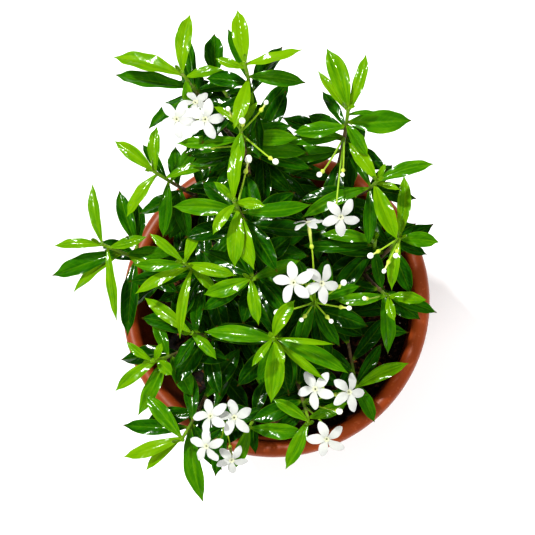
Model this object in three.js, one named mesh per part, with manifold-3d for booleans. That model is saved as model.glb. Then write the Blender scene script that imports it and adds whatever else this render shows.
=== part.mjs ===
// Crape jasmine in a round nursery pot.
// Millimetres, +Z up. The origin is the middle of the pot's flat base, and -Y is the front.
// Nine leafy stems stand in plain holes in the potting mix. A stem's leaves, flower stalks,
// calyces and buds are one solid with it. Every open flower is a solid of its own on its calyx.

import * as THREE from 'three';
import { mergeVertices } from 'three/addons/utils/BufferGeometryUtils.js';
import Module from 'manifold-3d';

const wasm = await Module();
wasm.setup();

// Pot
const RIM_RADIUS = 125;
const RIM_INNER_RADIUS = 112;
const POT_HEIGHT = 215;
const BAND_FOOT = 189;
const BAND_STEP = 4.5;
const BASE_RADIUS = 88;
const BASE_EDGE = 2;
const WALL = 3.2;
const FLOOR = 4;
const POT_SIDES = 36;
const ROLL_STEPS = 4;
const DRAIN_HOLES = 5;
const DRAIN_RADIUS = 4.5;
const DRAIN_CIRCLE = 52;

// Potting mix, with a hole for each stem
const SOIL_TOP = 171;
const SOIL_GAP = 0.3;
const SOIL_SIDES = 18;
const SOIL_RINGS = 4;
const SOIL_RELIEF = 2.2;
const LUMP_X = 0.11;
const LUMP_Y = 0.13;
const HOLE_DEPTH = 24;
const HOLE_RADIUS = 4.05;
const HOLE_SIDES = 8;

// Wood: a leader is a shoot that stands in the soil, and the others are twigs
const LEADER_RADIUS = 3.4;
const LEADER_TAPER = 0.75;
const TWIG_RADIUS = 1.8;
const TIP_RADIUS = 1.1;
const LEADER_SIDES = 5;
const TWIG_SIDES = 4;
const STEM_STEPS = 5;
const STEM_RISE = 4;
const BOW_OUT = 0.75;
const BOW_UP = 0.42;
const NEARLY_PARALLEL = 0.2;

// Leaves: places along a blade, as shares of its length, with its width there
const BLADE_FORM = [[0.3, 0.76], [0.6, 1], [0.86, 0.52], [1, 0]];
const SMALL_BLADE_FORM = [[0.38, 0.9], [0.76, 0.76], [1, 0]];
const SMALL_REACH = 34;
const KEEL = 1.2;
const ARCH = 0.12;
const SWAY = 0.05;
const ROLL = 16;
const FIRST_NODE = 3;
const NODE_SPACING = 8;
const LEAF_STEP = 2.4;
const LOWER_NODE_SPACING = 29;
const LOWER_REACH = 43;
const LOWER_WIDTH = 13.5;
const LOWER_PITCH = 13;
const LOWER_DROOP = 5;
const LOWER_TURN = 20;
const REACH_SPREAD = 0.2;
const WIDTH_SPREAD = 0.15;
const OLDEST_SHADES = 0.8;
const BARE_FOOT = 12;
const BARE_FORK = 4;

// Room kept round a leaf, where its own stem's leaves start to count, and how far it may be bent
// up or down, in degrees, to clear what is there already
const CLEARANCE = 0.5;
const OUTER_START = 0.3;
const OUTER_WIDTH = 0.8;
const BENDS = [0, 4, -4, 8, -8, 12, -12, 16, -16, 21, -21, 26, -26, 32, -32];

// Flowers and buds: petal and bud forms are shares of length and width, as for the leaves
const TUBE_LENGTH = 16;
const TUBE_RADIUS = 1.2;
const THROAT_RADIUS = 2.1;
const THROAT_DEPTH = 3;
const THROAT_RISE = 0.7;
const PETALS = 5;
const PETAL_FORM = [[0.05, 0], [0.42, 0.66], [0.78, 1], [1, 0]];
const PETAL_WIDTH = 0.58;
const PETAL_SWEEP = 0.14;
const PETAL_DISH = 0.3;
const PETAL_FALL = 1.3;
const STALK_RADIUS = 0.8;
const STALK_SIDES = 3;
const STALK_STEPS = 4;
const STALK_BOW = 10;
const CALYX_RADIUS = 1.6;
const CALYX_LENGTH = 3;
const SEAT_GAP = 0.3;
const BUD_FORM = [[-0.9, 0.5], [0, 1], [0.9, 0.4]];
const BUD_SIDES = 5;

// Colour and roughness of each material
const LEAF_LOOK = [0x4f9a14, 0.4];
const FLOWER_LOOK = [0xf7f8f4, 0.5];
const POT_LOOK = [0x9c4522, 0.5];
const SOIL_LOOK = [0x2c221a, 0.95];

// Shoots: name, the shoot it grows from ("" for the soil), where it starts (a place on the soil,
// or a share of the parent's length), its tip, and its upper leaves. Each leaf is its node below
// the tip, compass angle, reach across, width, rise from root to tip, and shade from young to old.
const SHOOTS = [
  ["A", "", [-4, 34], [3, 130, 398], [
    [0, 10, 39, 8.5, 4, 0], [0, 97, 37, 11.5, 6, 0], [0, 161, 21, 6.5, 2, 0.1], [1, -7, 39, 10.5, -4, 0.5],
    [1, -104, 37, 10, -4, 0.05], [1, 111, 43, 8.5, -6, 0.7], [1, -95, 33, 11.5, -14, 0.75],
    [1, 166, 32, 11, -6, 0.75]]],
  ["B", "A", 0.45, [-46, 138, 365], [
    [0, 82, 42, 11.5, 4, 0.1], [0, 162, 54, 14, -2, 0.1], [0, 4, 29, 8.5, 4, 0.1], [0, -86, 20, 8, -6, 0.2],
    [1, 165, 62, 13, -10, 0.6], [1, 100, 43, 8, -4, 0.8], [1, 12, 32, 9, -8, 0.75],
    [1, -152, 44, 11, -14, 0.8]]],
  ["D", "A", 0.6, [-28, 145, 335], [
    [0, 91, 32, 14.5, 6, 0.75], [0, -134, 23, 9.5, -4, 0.8], [1, -11, 22, 10, -6, 0.85]]],
  ["C", "", [-20, 26], [-4, 96, 372], [
    [0, 140, 24, 5, 10, 0.05], [0, 48, 20, 5, 10, 0.05], [0, 68, 26, 5.5, 6, 0.15],
    [0, -98, 27, 9.5, -4, 0.15], [1, -179, 47, 9.5, -6, 0.4], [1, 3, 38, 11.5, -6, 0.35],
    [1, 22, 36, 11, -10, 0.8], [2, -2, 44, 12, -10, 0.6], [2, -172, 42, 11, -10, 0.65]]],
  ["R", "C", 0.35, [-72, 77, 335], [
    [0, 142, 36, 10, 4, 0.1], [0, 88, 33, 9, 4, 0.1], [0, -128, 38, 10, -6, 0.1],
    [1, 13, 36, 8.5, 0, 0.3], [1, 125, 36, 8, -8, 0.8], [1, -98, 41, 10.5, -10, 0.5],
    [1, 58, 36, 11, -8, 0.6], [2, 98, 34, 11, -10, 0.7], [2, -82, 38, 12, -12, 0.75],
    [2, -114, 38, 12, -12, 0.75]]],
  ["G", "", [24, 30], [69, 104, 375], [
    [0, 108, 44, 13, 4, 0.25], [0, 126, 33, 6.5, 7, 0.05], [0, 71, 40, 8.5, 8, 0.05],
    [0, 6, 20, 3.5, -4, 0.5], [1, 2, 44, 16, -6, 0.45], [1, -57, 26, 9.5, -6, 0.3],
    [1, -178, 37, 11.5, -6, 0.4], [1, 119, 34, 8, -8, 0.85], [1, 150, 31, 10.5, -14, 0.8],
    [2, -176, 40, 12, -4, 0.55], [4, -178, 44, 13, -6, 0.65]]],
  ["H", "G", 0.42, [87, 62, 345], [
    [0, 124, 34, 10, 4, 0.05], [0, 16, 41, 10, 0, 0.4], [0, 59, 14, 4, 6, 0.1],
    [0, -20, 18, 5, 4, 0.1], [0, -69, 42, 12.5, -4, 0.1], [1, 113, 43, 9, -8, 0.75],
    [1, -159, 53, 10.5, -8, 0.4], [1, -92, 40, 9.5, -10, 0.75], [1, 48, 26, 9, -8, 0.9]]],
  ["E", "", [2, 6], [-5, 40, 392], [
    [0, 84, 37, 9.5, 4, 0.05], [0, 136, 17, 5, 8, 0.1], [0, -11, 21, 7.5, 6, 0.1],
    [0, -125, 25, 7.5, 2, 0.1], [1, -94, 39, 11.5, -4, 0.1], [1, -76, 41, 12.5, -2, 0.15],
    [1, 173, 47, 11.5, -6, 0.4], [1, 8, 48, 10.5, -12, 0.45]]],
  ["M", "E", 0.45, [0, -4, 345], [
    [0, -81, 32, 9, -2, 0.05], [0, -163, 35, 11.5, -2, 0.3], [1, 20, 35, 9.5, -2, 0.45],
    [1, 106, 38, 9, -8, 0.8]]],
  ["N", "", [-32, 4], [-48, 10, 338], [
    [0, 140, 31, 7, 6, 0.1], [0, 62, 29, 8.5, 6, 0.1], [0, -15, 38, 9, 4, 0.1],
    [0, 179, 39, 9, -2, 0.35], [1, -155, 44, 8.5, 0, 0.1], [1, -45, 27, 7.5, -2, 0.2],
    [1, -100, 51, 7.5, -4, 0.05]]],
  ["P", "N", 0.4, [-119, 32, 300], [
    [0, 99, 46, 9, 6, 0.15], [0, 180, 39, 8, 2, 0.15], [0, -85, 55, 8.5, -14, 0.15],
    [0, 14, 30, 9, 2, 0.2], [1, -164, 58, 15, -8, 0.6], [1, -144, 49, 9.5, -6, 0.15],
    [1, 0, 36, 10.5, -6, 0.55], [1, -25, 23, 6.5, 2, 0.1]]],
  ["Q", "P", 0.62, [-96, 36, 282], [
    [0, 108, 44, 12, 4, 0.75], [0, 92, 36, 11.5, -6, 0.95], [1, -97, 60, 14, -8, 0.85]]],
  ["X", "", [-24, -20], [-50, -36, 300], [
    [0, -45, 27, 8.5, 2, 0.2], [0, 143, 46, 10, -2, 0.15], [1, 86, 35, 9.5, -8, 0.85],
    [1, -127, 32, 10, -8, 0.8]]],
  ["S", "X", 0.5, [-81, -55, 290], [
    [0, 144, 24, 6.5, 4, 0.1], [0, 62, 14, 6, 6, 0.15], [0, -44, 16, 10, -2, 0.2],
    [0, -145, 40, 9.5, -2, 0.1], [1, -118, 49, 12, -8, 0.4], [1, 113, 32, 9.5, -2, 0.5],
    [1, -64, 34, 14, -12, 0.6]]],
  ["T", "X", 0.28, [-61, -112, 275], [
    [0, 131, 43, 12, 2, 0.35], [0, -162, 48, 11, -2, 0.05], [0, -139, 40, 8, -6, 0.05],
    [1, 178, 53, 12, -6, 0.75], [1, -82, 58, 14.5, -14, 0.4], [1, -59, 41, 13.5, -16, 0.9],
    [1, 98, 40, 12, -6, 0.75]]],
  ["Z", "T", 0.5, [-28, -104, 258], [
    [0, 30, 30, 9, -4, 0.85], [0, -150, 26, 9, -8, 0.85], [0, -103, 40, 11, -12, 0.85]]],
  ["W", "", [6, -26], [16, -45, 352], [
    [0, 59, 29, 10, 2, 0.15], [0, -126, 24, 5.5, 4, 0.1], [0, -71, 21, 6, 4, 0.1],
    [0, -6, 41, 4, -2, 0.1], [1, -95, 43, 13.5, -6, 0.15], [1, 173, 51, 11.5, -4, 0.3],
    [1, -25, 54, 11.5, -14, 0.45], [1, -40, 43, 6.5, -10, 0.1], [1, -118, 32, 9.5, -12, 0.5]]],
  ["U", "W", 0.2, [-13, -104, 262], [
    [0, -5, 42, 12, 0, 0.35], [0, -112, 35, 10, -6, 0.35], [1, -90, 27, 7.5, -10, 0.85],
    [1, 73, 29, 10.5, -4, 0.85]]],
  ["V", "W", 0.28, [33, -100, 268], [
    [0, 148, 31, 9, 2, 0.3], [0, -116, 40, 11, -6, 0.3], [0, 21, 32, 9.5, 2, 0.3],
    [1, -146, 31, 10.5, -10, 0.8]]],
  ["J", "", [32, 4], [102, 28, 318], [
    [0, -100, 37, 8.5, -6, 0.15], [0, -5, 28, 11, -4, 0.4], [0, 84, 46, 10, 4, 0.1],
    [1, -17, 24, 8, -8, 0.8]]],
  ["K", "J", 0.45, [93, -10, 290], [
    [0, -78, 19, 7, 4, 0.1], [0, -8, 28, 9.5, 2, 0.2], [0, -177, 39, 9.5, -2, 0.35],
    [1, -20, 41, 10.5, -8, 0.8], [1, -87, 45, 11.5, -10, 0.55]]],
  ["O", "J", 0.55, [84, 30, 300], [
    [0, 171, 40, 9.5, -2, 0.4], [1, 177, 55, 10, -10, 0.7], [1, -81, 32, 9, -8, 0.8]]],
  ["L", "J", 0.2, [67, -74, 238], [
    [0, 24, 44, 11, 2, 0.25], [0, 58, 38, 9.5, -4, 0.85], [0, -65, 33, 11, -8, 0.5],
    [1, 144, 35, 11, -6, 0.85]]],
  ["Y", "", [26, -10], [42, -18, 330], [
    [0, 20, 34, 9, -4, 0.6], [0, -110, 34, 10, -6, 0.7], [1, 110, 36, 10, -8, 0.8],
    [1, -60, 34, 10, -10, 0.8]]],
];

// Open flowers: the shoot that carries each, how far below its tip the stalk leaves it, the middle
// of the face, the compass angle and height it looks towards, its turn and its width.
const FLOWERS = [
  ["B", 34, [-49, 105, 362], [-120, 72], 10, 29],
  ["B", 34, [-28, 102, 368], [-60, 74], 40, 28],
  ["B", 34, [-37, 118, 357], [70, 70], 25, 23],
  ["G", 40, [62, 35, 354], [-70, 60], 29, 27],
  ["Y", 16, [40, 33, 348], [95, 32], 36, 24],
  ["Y", 8, [31, -10, 362], [-150, 74], 5, 29],
  ["Y", 8, [49, -10, 356], [-10, 58], 50, 28],
  ["V", 26, [41, -77, 312], [-150, 76], 30, 28],
  ["V", 26, [64, -79, 306], [5, 54], 42, 28],
  ["V", 22, [46, -111, 272], [-80, 68], 20, 29],
  ["Z", 12, [-34, -95, 303], [140, 72], 15, 27],
  ["Z", 12, [-18, -96, 297], [30, 72], 45, 28],
  ["Z", 12, [-39, -116, 290], [-140, 68], 60, 27],
  ["Z", 12, [-23, -126, 276], [-70, 55], 30, 25],
];

// Buds: the shoot, how far below its tip the stalk leaves it, the bud's middle and its radius.
const BUDS = [
  ["E", 16, [4, 68, 385], 2.4], ["C", 14, [21, 68, 378], 2.1], ["G", 40, [49, 61, 368], 1.9],
  ["G", 40, [64, 62, 362], 1.5], ["C", 30, [-33, 87, 352], 1.8], ["C", 10, [0, 94, 386], 2.2],
  ["C", 10, [-10, 104, 382], 1.6], ["C", 10, [15, 108, 380], 1.6], ["Y", 8, [18, -27, 341], 2.4],
  ["Y", 8, [63, -8, 345], 2.1], ["Y", 8, [66, -24, 336], 1.7], ["Y", 8, [54, -33, 338], 1.6],
  ["Y", 8, [34, -32, 340], 1.6], ["K", 14, [76, -15, 318], 1.6], ["J", 1, [81, 13, 329], 2.1],
  ["J", 1, [90, 3, 324], 1.6], ["J", 1, [98, 12, 332], 1.8], ["V", 26, [57, -92, 303], 2.4],
];

const radians = THREE.MathUtils.degToRad;
const degrees = THREE.MathUtils.radToDeg;
// A repeatable share from 0 to 1 for item k, different for each step
const share = (k, step) => (k * step) % 1;
// The same, from -1 to 1
const swing = (k, step) => 2 * share(k, step) - 1;

// A three.js geometry as a solid: shared points merged, and triangles without area dropped
function solid(geometry) {
  geometry.deleteAttribute('normal');
  geometry.deleteAttribute('uv');
  const merged = mergeVertices(geometry, 1e-4);
  const index = merged.index.array;
  const faces = [];
  for (let i = 0; i < index.length; i += 3) {
    const [a, b, c] = [index[i], index[i + 1], index[i + 2]];
    if (a !== b && b !== c && c !== a) faces.push(a, b, c);
  }
  return new wasm.Manifold(new wasm.Mesh({
    numProp: 3,
    vertProperties: new Float32Array(merged.attributes.position.array),
    triVerts: new Uint32Array(faces),
  }));
}

function meshOf(name, body, [colour, roughness]) {
  const { vertProperties, triVerts } = body.getMesh();
  const geometry = new THREE.BufferGeometry();
  geometry.setAttribute('position', new THREE.BufferAttribute(vertProperties, 3));
  geometry.setIndex(new THREE.BufferAttribute(triVerts, 1));
  geometry.computeVertexNormals();
  const material = new THREE.MeshStandardMaterial({ color: colour, roughness, metalness: 0 });
  const mesh = new THREE.Mesh(geometry, material);
  mesh.name = name;
  return mesh;
}

// A closed solid through rings of points, each ring running the same way round its line
function loft(rings) {
  const count = rings[0].length;
  const faces = [];
  for (let i = 0; i + 1 < rings.length; i += 1) {
    for (let j = 0; j < count; j += 1) {
      const a = i * count + j;
      const b = i * count + (j + 1) % count;
      faces.push(a, b, b + count, a, b + count, a + count);
    }
  }
  const last = (rings.length - 1) * count;
  for (let j = 1; j + 1 < count; j += 1) {
    faces.push(0, j + 1, j, last, last + j, last + j + 1);
  }
  const geometry = new THREE.BufferGeometry().setFromPoints(rings.flat());
  geometry.setIndex(faces);
  return solid(geometry);
}

// A ring of points round a middle, across two directions
function ring(middle, across, other, radius, sides, turn = 0) {
  return Array.from({ length: sides }, (_, i) => {
    const angle = turn + (2 * Math.PI * i) / sides;
    return middle.clone()
      .addScaledVector(across, radius * Math.cos(angle))
      .addScaledVector(other, radius * Math.sin(angle));
  });
}

// A tube along points, with a radius at each
function tube(points, radii, sides) {
  return loft(points.map((point, i) => {
    const ahead = points[Math.min(i + 1, points.length - 1)];
    const behind = points[Math.max(i - 1, 0)];
    const along = ahead.clone().sub(behind).normalize();
    const across = new THREE.Vector3(0, 1, 0).cross(along);
    if (across.length() < NEARLY_PARALLEL) across.set(1, 0, 0);
    across.normalize();
    return ring(point, across, along.clone().cross(across), radii[i], sides);
  }));
}

// A solid turned from [radius, height] points round the pot's axis
function turned(profile, sides) {
  const points = profile.map(([radius, z]) => new THREE.Vector2(radius, z));
  return new THREE.LatheGeometry(points, sides).rotateX(Math.PI / 2);
}

function uprightHole(x, y, foot, height, radius) {
  const hole = new THREE.CylinderGeometry(radius, radius, height, HOLE_SIDES);
  return solid(hole.rotateX(Math.PI / 2).translate(x, y, foot + height / 2));
}

// The inside of the pot, and so the outside of the potting mix, at a height below the rim band
function potInnerRadius(z) {
  const foot = BASE_RADIUS - WALL;
  return foot + (RIM_INNER_RADIUS - foot) * ((z - FLOOR) / (BAND_FOOT - FLOOR));
}

// Pot: base, tapered wall, stepped band and rolled rim, then down the inside to the floor
function makePot() {
  const rollRadius = (RIM_RADIUS - RIM_INNER_RADIUS) / 2;
  const profile = [
    [0, 0], [BASE_RADIUS - BASE_EDGE, 0], [BASE_RADIUS, BASE_EDGE],
    [RIM_INNER_RADIUS + WALL, BAND_FOOT], [RIM_RADIUS - BAND_STEP, BAND_FOOT + BASE_EDGE],
  ];
  for (let i = 0; i <= ROLL_STEPS; i += 1) {
    const angle = (Math.PI * i) / ROLL_STEPS;
    profile.push([
      RIM_RADIUS - rollRadius + rollRadius * Math.cos(angle),
      POT_HEIGHT - rollRadius + rollRadius * Math.sin(angle),
    ]);
  }
  profile.push([RIM_INNER_RADIUS, BAND_FOOT], [potInnerRadius(FLOOR), FLOOR], [0, FLOOR]);
  let pot = solid(turned(profile, POT_SIDES));
  for (let i = 0; i < DRAIN_HOLES; i += 1) {
    const angle = (2 * Math.PI * i) / DRAIN_HOLES;
    const [x, y] = [DRAIN_CIRCLE * Math.cos(angle), DRAIN_CIRCLE * Math.sin(angle)];
    pot = pot.subtract(uprightHole(x, y, -FLOOR, FLOOR * 3, DRAIN_RADIUS));
  }
  return pot;
}

// Height of the potting mix, with the low lumps of its bark
function soilHeight(x, y) {
  return SOIL_TOP + SOIL_RELIEF * Math.sin(x * LUMP_X) * Math.cos(y * LUMP_Y);
}

// Potting mix: it fills the pot with a small gap, and has a plain hole for each stem
function makeSoil(stemFeet) {
  const wall = (z) => potInnerRadius(z) - SOIL_GAP;
  const floor = FLOOR + SOIL_GAP;
  const profile = [[0, floor], [wall(floor), floor]];
  for (let i = SOIL_RINGS; i > 0; i -= 1) {
    profile.push([(wall(SOIL_TOP) - SOIL_GAP) * (i / SOIL_RINGS), SOIL_TOP]);
  }
  profile.push([0, SOIL_TOP]);
  const geometry = turned(profile, SOIL_SIDES);
  const position = geometry.attributes.position;
  for (let i = 0; i < position.count; i += 1) {
    if (position.getZ(i) > SOIL_TOP - SOIL_RELIEF) {
      position.setZ(i, soilHeight(position.getX(i), position.getY(i)));
    }
  }
  const height = HOLE_DEPTH + 2 * SOIL_RELIEF;
  const holes = stemFeet.map(([x, y]) => uprightHole(x, y, SOIL_TOP - HOLE_DEPTH, height, HOLE_RADIUS));
  return holes.reduce((soil, hole) => soil.subtract(hole), solid(geometry));
}

// The line of a shoot: out from where it starts, then up to its tip
function shootLine(start, tip) {
  const bow = new THREE.Vector3().lerpVectors(start, tip, BOW_OUT);
  bow.z = start.z + (tip.z - start.z) * BOW_UP;
  return new THREE.QuadraticBezierCurve3(start, bow, tip);
}

function readShoots() {
  const shoots = new Map();
  for (const [name, parent, from, tip, leaves] of SHOOTS) {
    const carrier = shoots.get(parent);
    const start = carrier ? carrier.line.getPoint(from) : new THREE.Vector3(...from, SOIL_TOP + STEM_RISE);
    const line = shootLine(start, new THREE.Vector3(...tip));
    const stem = carrier ? carrier.stem : name;
    const foot = carrier ? null : from;
    shoots.set(name, { line, leaves, length: line.getLength(), stem, foot });
  }
  return shoots;
}

// The wood of a shoot, with its buried foot where it stands in the potting mix
function shootSolid(shoot) {
  const thick = shoot.foot ? LEADER_RADIUS * LEADER_TAPER : TWIG_RADIUS;
  const points = shoot.line.getPoints(STEM_STEPS);
  const radii = points.map((_, i) => thick + (TIP_RADIUS - thick) * (i / STEM_STEPS));
  if (!shoot.foot) return tube(points, radii, TWIG_SIDES);
  const foot = [SOIL_TOP - HOLE_DEPTH + SEAT_GAP, SOIL_TOP + SOIL_RELIEF]
    .map((z) => new THREE.Vector3(...shoot.foot, z));
  return tube([...foot, ...points], [LEADER_RADIUS, LEADER_RADIUS, ...radii], LEADER_SIDES);
}

// The point of a shoot at a distance below its tip, or where it starts if it is shorter
function below(shoot, distance) {
  return shoot.line.getPointAt(Math.max(0, 1 - distance / shoot.length));
}

// The upper leaves of a shoot, as listed
function upperLeaves(shoot) {
  return shoot.leaves.map(([node, compass, reach, width, rise, shade], i) => ({
    root: below(shoot, FIRST_NODE + NODE_SPACING * node + LEAF_STEP * i),
    compass, reach, width, pitch: degrees(Math.atan2(rise, reach)), shade, lower: false,
  }));
}

// The lower leaves of a shoot: pairs down its length, each a quarter turn from the pair above
function lowerLeaves(shoot, made) {
  const leaves = [];
  const first = FIRST_NODE + 2 * NODE_SPACING + LEAF_STEP * shoot.leaves.length;
  const last = shoot.length - (shoot.foot ? BARE_FOOT : BARE_FORK);
  let turn = shoot.leaves[0][1] + 45;
  for (let down = first; down < last; down += LOWER_NODE_SPACING) {
    for (const side of [0, 180]) {
      const k = made + leaves.length + 1;
      leaves.push({
        root: below(shoot, down),
        compass: turn + side + LOWER_TURN * swing(k, 0.618),
        reach: LOWER_REACH * (1 + REACH_SPREAD * swing(k, 0.414)),
        width: LOWER_WIDTH * (1 + WIDTH_SPREAD * swing(k, 0.732)),
        pitch: LOWER_PITCH * swing(k, 0.271) - LOWER_DROOP,
        shade: OLDEST_SHADES + (1 - OLDEST_SHADES) * share(k, 0.543),
        lower: true,
      });
    }
    turn += 90;
  }
  return leaves;
}

// All leaves, each shoot's upper ones first
function listLeaves(shoots) {
  const upper = [];
  const lower = [];
  for (const shoot of shoots.values()) {
    upper.push(...upperLeaves(shoot).map((leaf) => ({ ...leaf, stem: shoot.stem })));
    lower.push(...lowerLeaves(shoot, lower.length).map((leaf) => ({ ...leaf, stem: shoot.stem })));
  }
  return [...upper, ...lower].map((leaf, number) => ({ ...leaf, number }));
}

// Three points across a blade: its two edges and the keel below. The edges meet at its root, and
// all three at its tip.
function bladeRing(middle, across, normal, width, depth, margin = 0) {
  const half = width / 2 + margin;
  return [[half, margin], [-half, margin], [0, -depth - margin]].map(([a, b]) => middle.clone()
    .addScaledVector(across, a)
    .addScaledVector(normal, b));
}

// A leaf blade from a place along it to its tip, flat above and keeled below, bent up or down by
// some degrees and made larger all round by a margin
function leafSolid(leaf, bend, from = 0, margin = 0) {
  const out = new THREE.Vector3(Math.cos(radians(leaf.compass)), Math.sin(radians(leaf.compass)), 0);
  const left = new THREE.Vector3(-out.y, out.x, 0);
  const slope = Math.tan(radians(leaf.pitch + bend));
  const sway = SWAY * swing(leaf.number, 0.477);
  const roll = radians(ROLL * swing(leaf.number, 0.329));
  const line = (t) => leaf.root.clone()
    .addScaledVector(out, leaf.reach * t)
    .addScaledVector(left, leaf.reach * 4 * sway * t * (1 - t))
    .add(new THREE.Vector3(0, 0, leaf.reach * (slope * t + 4 * ARCH * t * (1 - t))));
  const form = leaf.lower || leaf.reach < SMALL_REACH ? SMALL_BLADE_FORM : BLADE_FORM;
  const places = [[from, from === 0 ? 0 : OUTER_WIDTH], ...form.filter(([t]) => t > from)];
  return loft(places.map(([t, wide]) => {
    const along = line(t + 0.01).sub(line(t - 0.01)).normalize();
    const rise = along.clone().cross(left);
    const across = left.clone().multiplyScalar(Math.cos(roll)).addScaledVector(rise, Math.sin(roll));
    const normal = along.clone().cross(across).normalize();
    return bladeRing(line(t), across, normal, leaf.width * wide, t === 1 ? 0 : KEEL, margin);
  }));
}

// The way a flower faces, with two directions across its face
function facing([compass, height], turn) {
  const [a, h, s] = [radians(compass), radians(height), radians(turn)];
  const normal = new THREE.Vector3(Math.cos(a) * Math.cos(h), Math.sin(a) * Math.cos(h), Math.sin(h));
  const level = new THREE.Vector3(-Math.sin(a), Math.cos(a), 0);
  const rise = normal.clone().cross(level);
  return {
    normal,
    across: level.clone().multiplyScalar(Math.cos(s)).addScaledVector(rise, Math.sin(s)),
    other: rise.clone().multiplyScalar(Math.cos(s)).addScaledVector(level, -Math.sin(s)),
  };
}

// An open flower: a slim tube, a small throat and five petals that turn like a pinwheel
function flowerSolid(middle, look, turn, width) {
  const { normal, across, other } = facing(look, turn);
  const at = (depth) => new THREE.Vector3(...middle).addScaledVector(normal, depth);
  const reach = width / 2;
  const places = [[-TUBE_LENGTH, TUBE_RADIUS], [-THROAT_DEPTH, TUBE_RADIUS], [THROAT_RISE, THROAT_RADIUS]];
  const tubeSolid = loft(places.map(([depth, radius]) => ring(
    at(depth), across, other, radius, PETALS, Math.PI / PETALS,
  )));
  const petals = ring(new THREE.Vector3(), across, other, 1, PETALS).map((out) => {
    const side = normal.clone().cross(out);
    return loft(PETAL_FORM.map(([t, wide]) => {
      const point = at(PETAL_DISH * reach * t * (1 - PETAL_FALL * t))
        .addScaledVector(out, reach * t)
        .addScaledVector(side, PETAL_SWEEP * reach * t * t);
      return bladeRing(point, side, normal, PETAL_WIDTH * reach * wide, t === 1 ? 0 : KEEL);
    }));
  });
  return petals.reduce((flower, petal) => flower.add(petal), tubeSolid);
}

// A flower stalk that ends in the calyx, SEAT_GAP below the flower's tube
function stalkSolid(shoot, distance, middle, look) {
  const { normal } = facing(look, 0);
  const at = (depth) => new THREE.Vector3(...middle).addScaledVector(normal, depth);
  const seat = -TUBE_LENGTH - SEAT_GAP;
  const calyx = at(seat - CALYX_LENGTH);
  const bow = at(seat - CALYX_LENGTH - STALK_BOW);
  const points = new THREE.QuadraticBezierCurve3(below(shoot, distance), bow, calyx).getPoints(STALK_STEPS);
  return tube([...points, at(seat)], [...points.map(() => STALK_RADIUS), CALYX_RADIUS], STALK_SIDES);
}

// A bud on its own thin stalk
function budSolid(shoot, distance, middle, radius) {
  const centre = new THREE.Vector3(...middle);
  const line = shootLine(below(shoot, distance), centre);
  const points = line.getPoints(STALK_STEPS - 1);
  const along = line.getTangent(1);
  const rings = BUD_FORM.map(([depth]) => centre.clone().addScaledVector(along, depth * radius));
  const bud = tube(rings, BUD_FORM.map(([, wide]) => wide * radius), BUD_SIDES);
  return tube(points, points.map(() => STALK_RADIUS), STALK_SIDES).add(bud);
}

// What is in place, so that leaves can be bent clear of it. Another stem's leaves clear the whole
// of a piece, and its own stem's leaves only its outer part.
const placed = [];

function put(stem, body, outer = body) {
  placed.push({
    stem,
    whole: { body, box: body.boundingBox() },
    outer: { body: outer, box: outer.boundingBox() },
  });
  return body;
}

function boxesMeet(a, b) {
  return [0, 1, 2].every((i) => a.min[i] <= b.max[i] && b.min[i] <= a.max[i]);
}

function isClear(body, others) {
  const box = body.boundingBox();
  return others.every((other) => !boxesMeet(box, other.box) || body.intersect(other.body).isEmpty());
}

// The first bend at which a leaf clears everything, or undefined where none does
function findBend(leaf) {
  const strangers = placed.filter((piece) => piece.stem !== leaf.stem).map((piece) => piece.whole);
  const own = placed.filter((piece) => piece.stem === leaf.stem).map((piece) => piece.outer);
  return BENDS.find((bend) => isClear(leafSolid(leaf, bend, 0, CLEARANCE), strangers)
    && isClear(leafSolid(leaf, bend, OUTER_START), own));
}

const shoots = readShoots();
const stems = new Map();
const addTo = (stem, body, outer) => stems.get(stem).push(put(stem, body, outer));

const pot = put('pot', makePot());
const soil = put('potting_mix', makeSoil([...shoots.values()].map((shoot) => shoot.foot).filter(Boolean)));

for (const shoot of shoots.values()) {
  if (shoot.foot) stems.set(shoot.stem, []);
  addTo(shoot.stem, shootSolid(shoot));
}
const flowers = FLOWERS.map(([name, distance, middle, look, turn, width]) => {
  const shoot = shoots.get(name);
  addTo(shoot.stem, stalkSolid(shoot, distance, middle, look));
  return put('flower', flowerSolid(middle, look, turn, width));
});
for (const [name, distance, middle, radius] of BUDS) {
  const shoot = shoots.get(name);
  addTo(shoot.stem, budSolid(shoot, distance, middle, radius));
}
for (const leaf of listLeaves(shoots)) {
  const bend = findBend(leaf);
  if (bend !== undefined) {
    addTo(leaf.stem, leafSolid(leaf, bend), leafSolid(leaf, bend, OUTER_START));
  }
}

const plant = new THREE.Group();
plant.add(meshOf('pot', pot, POT_LOOK));
plant.add(meshOf('potting_mix', soil, SOIL_LOOK));
[...stems.values()].forEach((bodies, i) => {
  const stem = bodies.reduce((sum, body) => sum.add(body));
  plant.add(meshOf(`leafy_stem_${i + 1}`, stem, LEAF_LOOK));
});
flowers.forEach((body, i) => {
  plant.add(meshOf(`flower_${String(i + 1).padStart(2, '0')}`, body, FLOWER_LOOK));
});

export default plant;
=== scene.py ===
"""Looks of a crape jasmine in a round nursery pot.

Fine leaves, wood, flower sprays, flowers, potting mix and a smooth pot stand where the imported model
has its plain solids. The tables and the rules that lay out the plant are those of the part. Sizes
here are in millimetres, and become metres where a mesh is made.
"""

import math
from types import SimpleNamespace

import bmesh
import bpy
import numpy as np
from mathutils import Matrix, Vector, noise
from mathutils.bvhtree import BVHTree
from mathutils.kdtree import KDTree


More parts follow.
